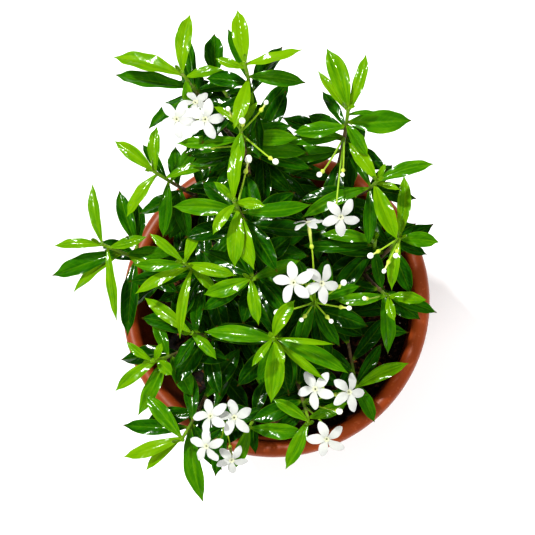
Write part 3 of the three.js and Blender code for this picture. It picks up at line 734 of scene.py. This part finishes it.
def upper_leaves(shoot):
    """The upper leaves of a shoot, as listed."""
    leaves = []
    for i, (node, compass, reach, width, rise, age) in enumerate(shoot.leaves):
        root = shoot.line.below(FIRST_NODE + NODE_SPACING * node + LEAF_STEP * i)
        pitch = math.degrees(math.atan2(rise, reach))
        leaves.append(new_leaf(shoot, root, compass, reach, width, pitch, age))
    return leaves


def lower_leaves(shoot, made, between=0):
    """Pairs of leaves down a shoot, each a quarter turn from the pair above: the lower leaves, or
    those that share of the way between them."""
    leaves = []
    down = first_lower_node(shoot) + between * LOWER_NODE_SPACING
    last = shoot.line.length - (BARE_FOOT if shoot.foot else BARE_FORK)
    turn = shoot.leaves[0][1] + 45 + 90 * between
    while down < last:
        for side in (0, 180):
            k = made + len(leaves) + 1
            # Lower and inner leaves get the darkest tones: old leaves, with painted shade deep in the bush
            leaves.append(new_leaf(
                shoot, shoot.line.below(down), turn + side + LOWER_TURN * swing(k, 0.618),
                LOWER_REACH * (1 + REACH_SPREAD * swing(k, 0.414)),
                LOWER_WIDTH * (1 + WIDTH_SPREAD * swing(k, 0.732)),
                LOWER_PITCH * swing(k, 0.271) - LOWER_DROOP,
                LOWER_TONE_OLD_AND_PAINTED_SHADE + (1 - LOWER_TONE_OLD_AND_PAINTED_SHADE) * share(k, 0.543)))
        down += LOWER_NODE_SPACING
        turn += 90
    return leaves


def list_leaves(shoots):
    """All leaves, each shoot's upper ones first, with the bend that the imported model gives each.

    The part bends a leaf up or down until it clears its neighbours, and leaves out one that never
    does, so the bend is read from where the leaf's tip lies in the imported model."""
    upper, lower = [], []
    for shoot in shoots.values():
        upper += upper_leaves(shoot)
        lower += lower_leaves(shoot, len(lower))
    corners = {stem: tree_of(node) for stem, node in stem_nodes(shoots).items()}
    kept = []
    for number, leaf in enumerate(upper + lower):
        leaf.number = number
        for bend in BENDS:
            tip = blade_line(leaf, bend, 1)[0]
            if corners[leaf.stem].find(Vector(tip * MM))[2] < TIP_TOLERANCE * MM:
                leaf.bend = bend
                kept.append(leaf)
                break
    return kept


def inner_leaves(shoots):
    """Leaves midway between the lower pairs, where they stay inside the rim."""
    leaves = []
    for shoot in shoots.values():
        leaves += lower_leaves(shoot, INNER_SERIES + len(leaves), 0.5)
    for number, leaf in enumerate(leaves, INNER_SERIES):
        leaf.number = number
    return [leaf for leaf in leaves if np.hypot(*blade_line(leaf, 0, 1)[0, :2]) < INNER_RADIUS]


def bud_leaves(shoots):
    """A pair of small folded leaves at the tip of every shoot."""
    leaves = []
    for shoot in shoots.values():
        for side in (60, 240):
            k = BUD_LEAF_SERIES + len(leaves)
            leaf = new_leaf(
                shoot, shoot.line.end, shoot.leaves[0][1] + side,
                BUD_LEAF_REACH * (1 + REACH_SPREAD * swing(k, 0.414)), BUD_LEAF_WIDTH,
                BUD_LEAF_PITCH + LOWER_TURN * swing(k, 0.618), 0.1 * share(k, 0.543))
            leaf.bend, leaf.number = 0, k
            leaves.append(leaf)
    return leaves


def stem_nodes(shoots):
    """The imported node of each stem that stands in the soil."""
    stems = [name for name, shoot in shoots.items() if shoot.foot]
    return {stem: f"leafy_stem_{i}" for i, stem in enumerate(stems, 1)}


def tree_of(node):
    """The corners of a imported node, ready to be searched."""
    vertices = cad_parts[node].data.vertices
    tree = KDTree(len(vertices))
    for vertex in vertices:
        tree.insert(vertex.co, vertex.index)
    tree.balance()
    return tree


# Leaves

def blade_line(leaf, bend, t):
    """Points of a leaf's middle line at shares t of its reach."""
    out, left = level_ways(leaf.compass)
    slope = math.tan(math.radians(leaf.pitch + bend))
    sway = SWAY * swing(leaf.number, 0.477)
    hump = 4 * t * (1 - t)
    rise = slope * t + ARCH * hump
    return leaf.root + leaf.reach * (
        np.outer(t, out) + np.outer(sway * hump, left) + np.outer(rise, UP))


def blade_half_width(t, width):
    """Half the width of a leaf: lance-shaped with a drawn-out tip, down to its short stalk."""
    form = np.sin(math.pi * np.clip(t, 0, 1) ** BLADE_LEAN) ** BLADE_FULLNESS
    form = form * (1 - DRIP_TIP * smooth(0.82, 0.98, t))
    stalk = PETIOLE_RADIUS * (1 - t)
    return np.sqrt((form * width / 2) ** 2 + stalk ** 2)


def blade(leaf):
    """A leaf's points and faces, with its attributes: place, tone (age, and painted shade on leaves in
    shade), veins, side and tint.
    """
    k = leaf.number
    steps = np.arange(VEINS * STEPS_A_VEIN + 1)
    t_mid = LAST_ROW * steps / steps[-1]
    s = COLUMNS
    half_mid = blade_half_width(t_mid, leaf.width)
    sweep = VEIN_SWEEP * half_mid / leaf.reach * smooth(0, 0.2, t_mid) * (1 - t_mid ** 3)
    t = np.minimum(t_mid[:, None] + np.outer(sweep, np.abs(s)), LAST_SHARE)
    half = blade_half_width(t, leaf.width)

    def line(shares):
        return blade_line(leaf, leaf.bend, shares.ravel()).reshape(*shares.shape, 3)

    middle = line(t)
    along = unit(line(t + 0.01) - line(t - 0.01))
    left = level_ways(leaf.compass)[1]
    rise = np.cross(along, left)
    roll = math.radians(ROLL * swing(k, 0.329)) + 0.35 * swing(k, 0.613) * (t - 0.4)
    across = left * np.cos(roll)[..., None] + rise * np.sin(roll)[..., None]
    normal = unit(np.cross(along, across))

    away = np.abs(s)[None, :] * np.ones_like(t)
    fold = FOLD * half * (np.sin(1.7 * away) - 1) * (1 + 0.4 * swing(k, 0.811))
    ripple = 2 * math.pi * (t * (2.4 + share(k, 0.37)) + share(k, 0.91) + 0.31 * (s[None, :] > 0))
    wave = WAVE * leaf.width * away ** 2 * np.sin(ripple) * smooth(0.08, 0.3, t) * smooth(1, 0.8, t)
    phase = (steps % STEPS_A_VEIN) / STEPS_A_VEIN
    relief = -VEIN_DEPTH * (0.5 + 0.5 * np.cos(2 * math.pi * phase))[:, None]
    relief = relief * smooth(0, 0.2, away) * smooth(1, 0.7, away) * smooth(0.06, 0.2, t) * smooth(1, 0.9, t)
    upper = middle + across * (half * s)[..., None] + normal * (fold + wave + relief)[..., None]

    rib = RIB_THICKNESS * np.exp(-((half * s) / RIB_SPREAD) ** 2) * (1 - 0.8 * t)
    stalk = 1.2 * PETIOLE_RADIUS * smooth(0.12, 0.02, t)
    thickness = (BLADE_THICKNESS * smooth(0, 0.2, 1 - away) + rib + stalk) * smooth(1, 0.93, t)
    lower = upper - normal * thickness[..., None]
    tip = line(np.array([[1.0]]))[0, 0]
    points, faces = shell(upper, lower, tip)

    vein = np.broadcast_to((steps / STEPS_A_VEIN + 0.5)[:, None], t.shape)
    ones = np.ones_like(t)
    all_points = np.ones(len(points))
    place = [shell_values(t, 1), shell_values(ones * s, 0), all_points * leaf.age]
    mark = [shell_values(vein, 0.5), shell_values(ones, 1, 0 * ones), all_points * swing(k, 0.271)]
    return points, faces, np.stack(place, 1), np.stack(mark, 1)


def clear_leaves(leaves, gathered):
    """Each leaf at its first bend that clears what is in place and the leaves before it, if any does."""
    trees = [BVHTree.FromPolygons(np.concatenate(g.points).tolist(), g.faces) for g in gathered if g.count]
    t = np.linspace(OUTER_START, 1, OUTER_ROWS)
    kept = []
    for leaf in leaves:
        across = level_ways(leaf.compass)[1] * blade_half_width(t, leaf.width)[:, None]
        for bend in BENDS:
            line = blade_line(leaf, bend, t)
            points = np.stack([line - across, line, line + across], 1).reshape(-1, 3)
            tree = BVHTree.FromPolygons(points.tolist(), grid_faces(OUTER_ROWS, 3))
            high = line[:, 2].min() >= SOIL_TOP + INNER_FLOOR
            if high and not any(tree.overlap(other) for other in trees):
                trees.append(tree)
                leaf.bend = bend
                kept.append(leaf)
                break
    return kept


# Wood

def shoot_wood(shoot, gathered):
    """The wood of a shoot, a little swollen where leaves join it, with its foot in the potting mix."""
    line = shoot.line
    thick = LEADER_RADIUS * LEADER_TAPER if shoot.foot else TWIG_RADIUS
    t = np.linspace(0, 1, WOOD_STEPS + 1)
    points = line.at(t)
    radii = thick + (TIP_RADIUS - thick) * t
    below = line.length - np.interp(t, line.shares, line.lengths)
    lower = np.arange(first_lower_node(shoot), line.length, LOWER_NODE_SPACING)
    for joint in [FIRST_NODE, FIRST_NODE + NODE_SPACING, *lower]:
        radii = radii * (1 + JOINT_SWELL * np.exp(-((below - joint) / JOINT_LENGTH) ** 2))
    age = smooth(6, 50, below)
    if shoot.foot:
        foot = np.array([[*shoot.foot, SOIL_TOP - depth] for depth in FOOT_DEPTHS])
        points = np.concatenate([foot, points])
        radii = np.concatenate([FOOT_RADII, radii])
        age = np.concatenate([np.ones(len(foot)), age])
    else:
        radii = radii * (1 + FORK_SWELL * np.exp(-(t * line.length / FORK_LENGTH)))
    gathered.add_tube(points, radii, WOOD_SIDES, wood=age)


# Flowers, stalks and buds

def facing(look, turn):
    """The way a flower faces, with two directions across its face."""
    out, level = level_ways(look[0])
    height, spin = math.radians(look[1]), math.radians(turn)
    normal = out * math.cos(height) + UP * math.sin(height)
    rise = np.cross(normal, level)
    across = level * math.cos(spin) + rise * math.sin(spin)
    return normal, across, rise * math.cos(spin) - level * math.sin(spin)


def petal_half_width(t):
    """Half a petal's width as a share of its greatest: narrow at the throat, round at the end."""
    rise = 0.32 + 0.68 * smooth(0, 0.5, t)
    past = np.clip((t - PETAL_WIDEST) / (1 - PETAL_WIDEST), 0, 1)
    return np.where(t < PETAL_WIDEST, rise, np.clip(1 - past ** 2, 0, 1) ** 0.68)


def flower(index, middle, look, turn, width, material):
    """An open flower: a slim tube with a small throat and five petals that turn like a pinwheel."""
    normal, across, other = facing(look, turn)
    middle = np.array(middle, float)
    reach = width / 2
    made = Gathered("petal")

    u = np.linspace(0, 1, 17)
    t = 0.04 + 0.955 * (1 - (1 - u) ** 1.5)
    s = np.array([-1, -0.85, -0.62, -0.35, 0, 0.35, 0.62, 0.85, 1])
    tt, ss = np.meshgrid(t, s, indexing="ij")
    away = np.abs(ss)
    for i, angle in enumerate(round_angles(PETALS)):
        out = across * math.cos(angle) + other * math.sin(angle)
        side = np.cross(normal, out)
        k = index * PETALS + i + 1
        long = 1 + 0.05 * swing(k, 0.618)
        half = PETAL_WIDTH * reach / 2 * petal_half_width(tt) * (1 + 0.06 * swing(k, 0.414))
        dish = PETAL_DISH * reach * tt * (1 - PETAL_FALL * tt)
        lift = 0.34 * ss * half * smooth(0.75, 0.1, tt)
        curl = -0.16 * half * away ** 2 * smooth(0.2, 0.8, tt)
        ripple = np.sin(2 * math.pi * (tt * 2.2 + share(k, 0.37)))
        crisp = 0.3 * away ** 3 * ripple * smooth(0.3, 0.6, tt)
        groove = -0.22 * np.exp(-(ss / 0.22) ** 2) * smooth(0.1, 0.3, tt) * smooth(0.95, 0.6, tt)
        height = dish + lift + curl + crisp + groove
        upper = (middle + out * (reach * long * tt)[..., None] + normal * height[..., None]
                 + side * (PETAL_SWEEP * reach * tt ** 2 + half * ss)[..., None])
        thickness = PETAL_THICKNESS * smooth(1, 0.7, away) * smooth(1, 0.9, tt) + 0.05 * (1 - away)
        lower = upper - normal * thickness[..., None]
        tip = middle + out * reach * long + side * PETAL_SWEEP * reach + normal * height[-1, 4]
        points, faces = shell(upper[:, ::-1], lower[:, ::-1], tip)
        outness = shell_values(tt, 1)
        sides = shell_values(ss[:, ::-1], 0)
        made.add(points, faces, petal=np.stack([0.5 + 0.5 * outness, sides, outness], 1))

    depths = [-TUBE_LENGTH, -13, -10, -7.5, -5, -THROAT_DEPTH, -1.2, 0, THROAT_RISE, 0.5, -0.6, -2.5]
    radii = [0.85, 0.95, 1.05, 1.35, 1.25, TUBE_RADIUS, 1.3, 1.7, THROAT_RADIUS, 1.2, 0.8, 0.6]
    tones = np.array([0, 0.08, 0.16, 0.24, 0.3, 0.36, 0.44, 0.5, 0.54, 0.46, 0.36, 0.3])
    angles = round_angles(TUBE_SIDES)
    star = 1 + 0.12 * np.cos(PETALS * angles)
    rings = []
    for depth, radius in zip(depths, radii):
        lobes = star if depth > -1 else 1
        rings.append(middle + normal * depth + across * (radius * np.cos(angles) * lobes)[:, None]
                     + other * (radius * np.sin(angles) * lobes)[:, None])
    tone = np.repeat(tones, TUBE_SIDES)
    faces = tube_faces(len(depths), TUBE_SIDES)
    made.add(np.concatenate(rings), faces, petal=np.stack([tone, tone * 0, tone], 1))
    name = f"flower_{index + 1:02d}"
    made.make(f"{name}_bloom", material, "petal", [name])
    return made


def flower_stalk(line, distance, middle, look, gathered):
    """A stalk that ends in a calyx, just below the flower's tube."""
    normal = facing(look, 0)[0]
    middle = np.array(middle, float)
    seat = -TUBE_LENGTH - SEAT_GAP
    calyx = middle + normal * (seat - CALYX_LENGTH)
    bow = middle + normal * (seat - CALYX_LENGTH - STALK_BOW)
    t = np.linspace(0, 1, STALK_STEPS)
    points = Curve(line.below(distance), bow, calyx).at(t)
    ripe = np.linspace(0.05, 0.4, STALK_STEPS)
    gathered.add_tube(points, STALK_RADIUS * (1 - 0.25 * t), STALK_SIDES, ripe=ripe)
    add_calyx(calyx, normal, gathered)


def add_calyx(foot, normal, gathered):
    rise = np.array([0, 0.25, 0.6, 0.85, 1, 1.25])
    wide = np.array([0.38, 0.78, 1, 0.9, 0.75, 0.62])
    points = foot + np.outer(rise * CALYX_LENGTH, normal)
    gathered.add_tube(points, wide * CALYX_RADIUS, 10, ripe=0.38 + 0.14 * rise)


def bud(line, distance, middle, radius, gathered):
    """A bud: a round white head on a slim tube, which stands in its calyx on a thin stalk."""
    centre = np.array(middle, float)
    path = shoot_line(line.below(distance), centre)
    tube_length = min(9.0, 0.5 * path.length)
    start = np.interp(path.length - tube_length, path.lengths, path.shares)
    stalk, neck = path.at(np.linspace(0, start, 10)), path.at(np.linspace(start, 1, 8))
    stalk_radii = np.linspace(STALK_RADIUS, 0.55, 10)
    gathered.add_tube(stalk, stalk_radii, STALK_SIDES, ripe=np.linspace(0.05, 0.4, 10))
    gathered.add_tube(neck, np.linspace(0.6, 0.75, 8), STALK_SIDES, ripe=np.linspace(0.5, 0.8, 8))
    foot = path.at(start)
    ahead = unit(path.at(min(1, start + 0.05)) - foot)
    add_calyx(foot - ahead, ahead, gathered)
    along = unit(path.end - path.at(0.96))
    angles = np.linspace(0.06, math.pi - 0.05, 11)
    depth = -np.cos(angles) * (1 + 0.16 * (1 - np.cos(angles)))
    head = centre + np.outer(depth * radius, along)
    ripe = 0.82 + 0.18 * smooth(-1, 0, depth)
    gathered.add_tube(head, radius * np.sin(angles) ** 0.9, 12, ripe=ripe)


# Pot and potting mix

def arc(middle, radius, start, end, steps):
    """Points [radius, height] of an arc, from one angle to another in degrees."""
    angles = np.radians(np.linspace(start, end, steps))
    return [[middle[0] + radius * math.cos(a), middle[1] + radius * math.sin(a)] for a in angles]


def pot_inner_radius(z):
    foot = BASE_RADIUS - WALL
    return foot + (RIM_INNER_RADIUS - foot) * ((z - FLOOR) / (BAND_FOOT - FLOOR))


def lathe(profile, sides):
    """Points and faces of [radius, height] points turned round the pot's axis, closed at both ends."""
    angles = round_angles(sides)
    rings = [np.stack([r * np.cos(angles), r * np.sin(angles), np.full(sides, float(z))], 1)
             for r, z in profile[1:-1]]
    count = len(rings) * sides
    points = np.concatenate([*rings, [[0, 0, profile[0][1]], [0, 0, profile[-1][1]]]])
    faces = grid_faces(len(rings), sides, closed=True)
    for j in range(sides):
        faces.append((count, (j + 1) % sides, j))
        faces.append((count + 1, count - sides + j, count - sides + (j + 1) % sides))
    return points, faces


def make_pot(material):
    """Pot: base with drain holes, tapered wall, stepped band and rolled rim."""
    roll = (RIM_RADIUS - RIM_INNER_RADIUS) / 2
    band = RIM_RADIUS - BAND_STEP
    outer = RIM_INNER_RADIUS + WALL
    profile = [[0, 0], [DRAIN_CIRCLE * 0.7, 0], [DRAIN_CIRCLE * 1.3, 0], [BASE_RADIUS - 4, 0]]
    profile += arc([BASE_RADIUS - 2, 2], 2, -90, -8, 5)
    for k in range(1, 8):
        profile.append([BASE_RADIUS + (outer - BASE_RADIUS) * k / 8, 2 + (BAND_FOOT - 3.5) * k / 8])
    profile += [[outer - 0.2, BAND_FOOT - 2.5], [outer, BAND_FOOT - 0.6]]
    profile += arc([outer + 1, BAND_FOOT], 1, 180, 100, 4)
    profile += arc([band - 1.6, BAND_FOOT + 2.8], 1.6, -75, 0, 4)
    profile += [[band + 0.6, BAND_FOOT + 10]]
    profile += arc([RIM_RADIUS - roll, POT_HEIGHT - roll], roll, -28, 176, 20)
    profile += [[RIM_INNER_RADIUS + 0.1, POT_HEIGHT - 12], [RIM_INNER_RADIUS, BAND_FOOT]]
    profile += [[pot_inner_radius(z), z] for z in (165, 120, 70, 30, 8)]
    profile += [[pot_inner_radius(FLOOR) - 2, FLOOR], [DRAIN_CIRCLE, FLOOR], [0, FLOOR]]
    points, faces = lathe(profile, POT_SIDES)
    inward = [float(r <= RIM_INNER_RADIUS + 0.5 and z > FLOOR - 1 and i > len(profile) / 2)
              for i, (r, z) in enumerate(profile)]
    # Mask of painted shade with some soil stain, on the inner wall from just below the rim down
    inner_stain_and_painted_shade = np.concatenate([np.repeat(inward[1:-1], POT_SIDES), [0, 1]])
    inner_stain_and_painted_shade = inner_stain_and_painted_shade * smooth(POT_HEIGHT - 1.5, POT_HEIGHT - 10, points[:, 2])
    pot = new_piece("pot_shell", points, faces, {"wall": np.stack([inner_stain_and_painted_shade] * 3, 1)}, material, ["pot"])
    drill(pot)


def drill(pot):
    """Cuts the drain holes through the pot's floor."""
    made = bmesh.new()
    for angle in round_angles(DRAIN_HOLES):
        place = Vector((DRAIN_CIRCLE * math.cos(angle), DRAIN_CIRCLE * math.sin(angle), FLOOR / 2)) * MM
        bmesh.ops.create_cone(made, cap_ends=True, segments=DRILL_SIDES, radius1=DRAIN_RADIUS * MM,
                              radius2=DRAIN_RADIUS * MM, depth=FLOOR * 3 * MM,
                              matrix=Matrix.Translation(place))
    mesh = bpy.data.meshes.new("drain_holes")
    made.to_mesh(mesh)
    made.free()
    cutter = add_object("drain_holes", mesh)
    cut = pot.modifiers.new("drain_holes", "BOOLEAN")
    cut.operation = "DIFFERENCE"
    cut.solver = "EXACT"
    cut.object = cutter
    bpy.context.view_layer.update()
    shaped = pot.evaluated_get(bpy.context.evaluated_depsgraph_get())
    mesh = bpy.data.meshes.new_from_object(shaped)
    pot.modifiers.clear()
    pot.data = mesh
    bpy.data.objects.remove(cutter)


def soil_height(x, y):
    """Height of the potting mix: the low lumps of the part with crumbs on them."""
    lumps = SOIL_RELIEF * math.sin(x * LUMP_X) * math.cos(y * LUMP_Y)
    crumbs = noise.fractal(Vector((x, y, 0)) / 9, 0.9, 2.1, 5) + 0.6 * noise.noise(Vector((x, y, 5)) / 3.2)
    return SOIL_TOP + lumps + CRUMB_HEIGHT * 0.5 * crumbs


def make_soil(material):
    floor = FLOOR + SOIL_GAP
    wall = [[pot_inner_radius(z) - SOIL_GAP, z] for z in (floor, 40, 90, 140, SOIL_TOP - 4)]
    edge = pot_inner_radius(SOIL_TOP) - SOIL_GAP * 2
    top = [[edge * k / SOIL_RINGS, SOIL_TOP] for k in range(SOIL_RINGS, 0, -1)]
    points, faces = lathe([[0, floor], *wall, *top, [0, SOIL_TOP]], SOIL_SIDES)
    for point in points:
        if point[2] == SOIL_TOP:
            point[2] = soil_height(point[0], point[1])
    new_piece("potting_mix_crumbs", points, faces, {}, material, ["potting_mix"])


def chip_form(draw, size):
    """A rough convex chip: the hull of points on a ball, stretched to a size."""
    made = bmesh.new()
    points = unit(draw.normal(size=(13, 3))) * draw.uniform(0.75, 1, (13, 1)) * size / 2
    for point in points:
        made.verts.new(point)
    hull = bmesh.ops.convex_hull(made, input=made.verts)
    bmesh.ops.delete(made, geom=[v for v in hull["geom_interior"] if isinstance(v, bmesh.types.BMVert)],
                     context="VERTS")
    made.verts.index_update()
    points = np.array([v.co for v in made.verts])
    faces = [tuple(v.index for v in face.verts) for face in made.faces]
    made.free()
    return points, faces


def make_chips(material):
    """Bark chips and pale grains, strewn over the mix and half sunk in it."""
    draw = np.random.default_rng(CHIP_SEED)
    gathered = Gathered("chip")
    edge = pot_inner_radius(SOIL_TOP) - 5
    for i in range(CHIPS + GRAINS):
        is_chip = i < CHIPS
        size = draw.uniform([4, 2.6, 1.4], [12, 6.5, 3.2]) if is_chip else draw.uniform(1.2, 2.8, 3)
        points, faces = chip_form(draw, size)
        turn = Matrix.Rotation(draw.uniform(0, 2 * math.pi), 3, "Z")
        lean = Matrix.Rotation(draw.normal(0, 0.3), 3, "X") @ Matrix.Rotation(draw.normal(0, 0.3), 3, "Y")
        points = points @ np.array(turn @ lean).T
        radius = (edge - size[0] / 2) * math.sqrt(draw.uniform(0, 1))
        angle = draw.uniform(0, 2 * math.pi)
        x, y = radius * math.cos(angle), radius * math.sin(angle)
        z = soil_height(x, y) + 0.25 * size[2]
        tone = draw.beta(1.6, 2.2) * 0.88 if is_chip else draw.uniform(0.85, 1)
        gathered.add(points + [x, y, z], faces, chip=np.full((1, 3), tone))
    gathered.make("bark_chips", material, "potting_mix")


# The plant

def build_plant():
    leaf_look, bark_look = leaf_material(), bark_material()
    stalk_look, petal_look = stalk_material(), petal_material()
    shoots = read_shoots()
    nodes = stem_nodes(shoots)
    foliage = {stem: Gathered("blade", "mark") for stem in nodes}
    wood = {stem: Gathered("wood") for stem in nodes}
    sprays = {stem: Gathered("ripe") for stem in nodes}

    def add_leaf(leaf):
        points, faces, place, mark = blade(leaf)
        foliage[leaf.stem].add(points, faces, blade=place, mark=mark)

    for leaf in list_leaves(shoots) + bud_leaves(shoots):
        add_leaf(leaf)
    for shoot in shoots.values():
        shoot_wood(shoot, wood[shoot.stem])
    blooms = []
    for index, (name, distance, middle, look, turn, width) in enumerate(FLOWERS):
        shoot = shoots[name]
        flower_stalk(shoot.line, distance, middle, look, sprays[shoot.stem])
        blooms.append(flower(index, middle, look, turn, width, petal_look))
    for name, distance, middle, radius in BUDS:
        shoot = shoots[name]
        bud(shoot.line, distance, middle, radius, sprays[shoot.stem])
    in_place = [*foliage.values(), *wood.values(), *sprays.values(), *blooms]
    for leaf in clear_leaves(inner_leaves(shoots), in_place):
        add_leaf(leaf)
    for stem, node in nodes.items():
        foliage[stem].make(f"{node}_leaves", leaf_look, "leaf", [node])
        wood[stem].make(f"{node}_wood", bark_look, "bark", [node])
        if sprays[stem].count:
            sprays[stem].make(f"{node}_sprays", stalk_look, "stalk", [node])


# Studio

def make_floor():
    mesh = bpy.data.meshes.new("floor")
    corners = [(x * FLOOR_HALF, y * FLOOR_HALF, 0) for x, y in ((-1, -1), (1, -1), (1, 1), (-1, 1))]
    mesh.from_pydata(corners, [], [(0, 1, 2, 3)])
    mesh.materials.append(floor_material())
    add_object("floor", mesh)


def make_lights():
    scene = bpy.context.scene
    scene.world = bpy.data.worlds.new("studio")
    scene.world.use_nodes = True
    background = scene.world.node_tree.nodes["Background"]
    background.inputs["Color"].default_value = (1, 1, 1, 1)
    background.inputs["Strength"].default_value = SKY_STRENGTH
    scene.world.cycles_visibility.glossy = False
    for name, place, size, power, glossy in LAMPS:
        light = bpy.data.lights.new(name, "AREA")
        light.shape = "DISK"
        light.size = size
        light.energy = power
        lamp = add_object(name, light)
        lamp.location = place
        lamp.rotation_euler = (Vector(LAMP_AIM) - Vector(place)).to_track_quat("-Z", "Y").to_euler()
        lamp.visible_glossy = glossy
    scene.view_settings.view_transform = "Standard"
    scene.view_settings.look = "Medium High Contrast"


def make_camera():
    tilt, compass = math.radians(CAMERA_TILT), math.radians(CAMERA_COMPASS)
    back = Vector((math.sin(tilt) * math.cos(compass), math.sin(tilt) * math.sin(compass), math.cos(tilt)))
    right = (-back).cross(Vector((0, 1, 0))).normalized()
    up = right.cross(-back)
    data = bpy.data.cameras.new("camera")
    data.lens = CAMERA_LENS
    data.sensor_width = 36
    camera = add_object("camera", data)
    turn = Matrix((right, up, back)).transposed().to_4x4()
    camera.matrix_world = Matrix.Translation((Vector(TARGET) + back * CAMERA_DISTANCE) * MM) @ turn
    bpy.context.scene.camera = camera


make_camera()
make_lights()
make_floor()
make_pot(pot_material())
make_soil(soil_material())
make_chips(chip_material())
build_plant()
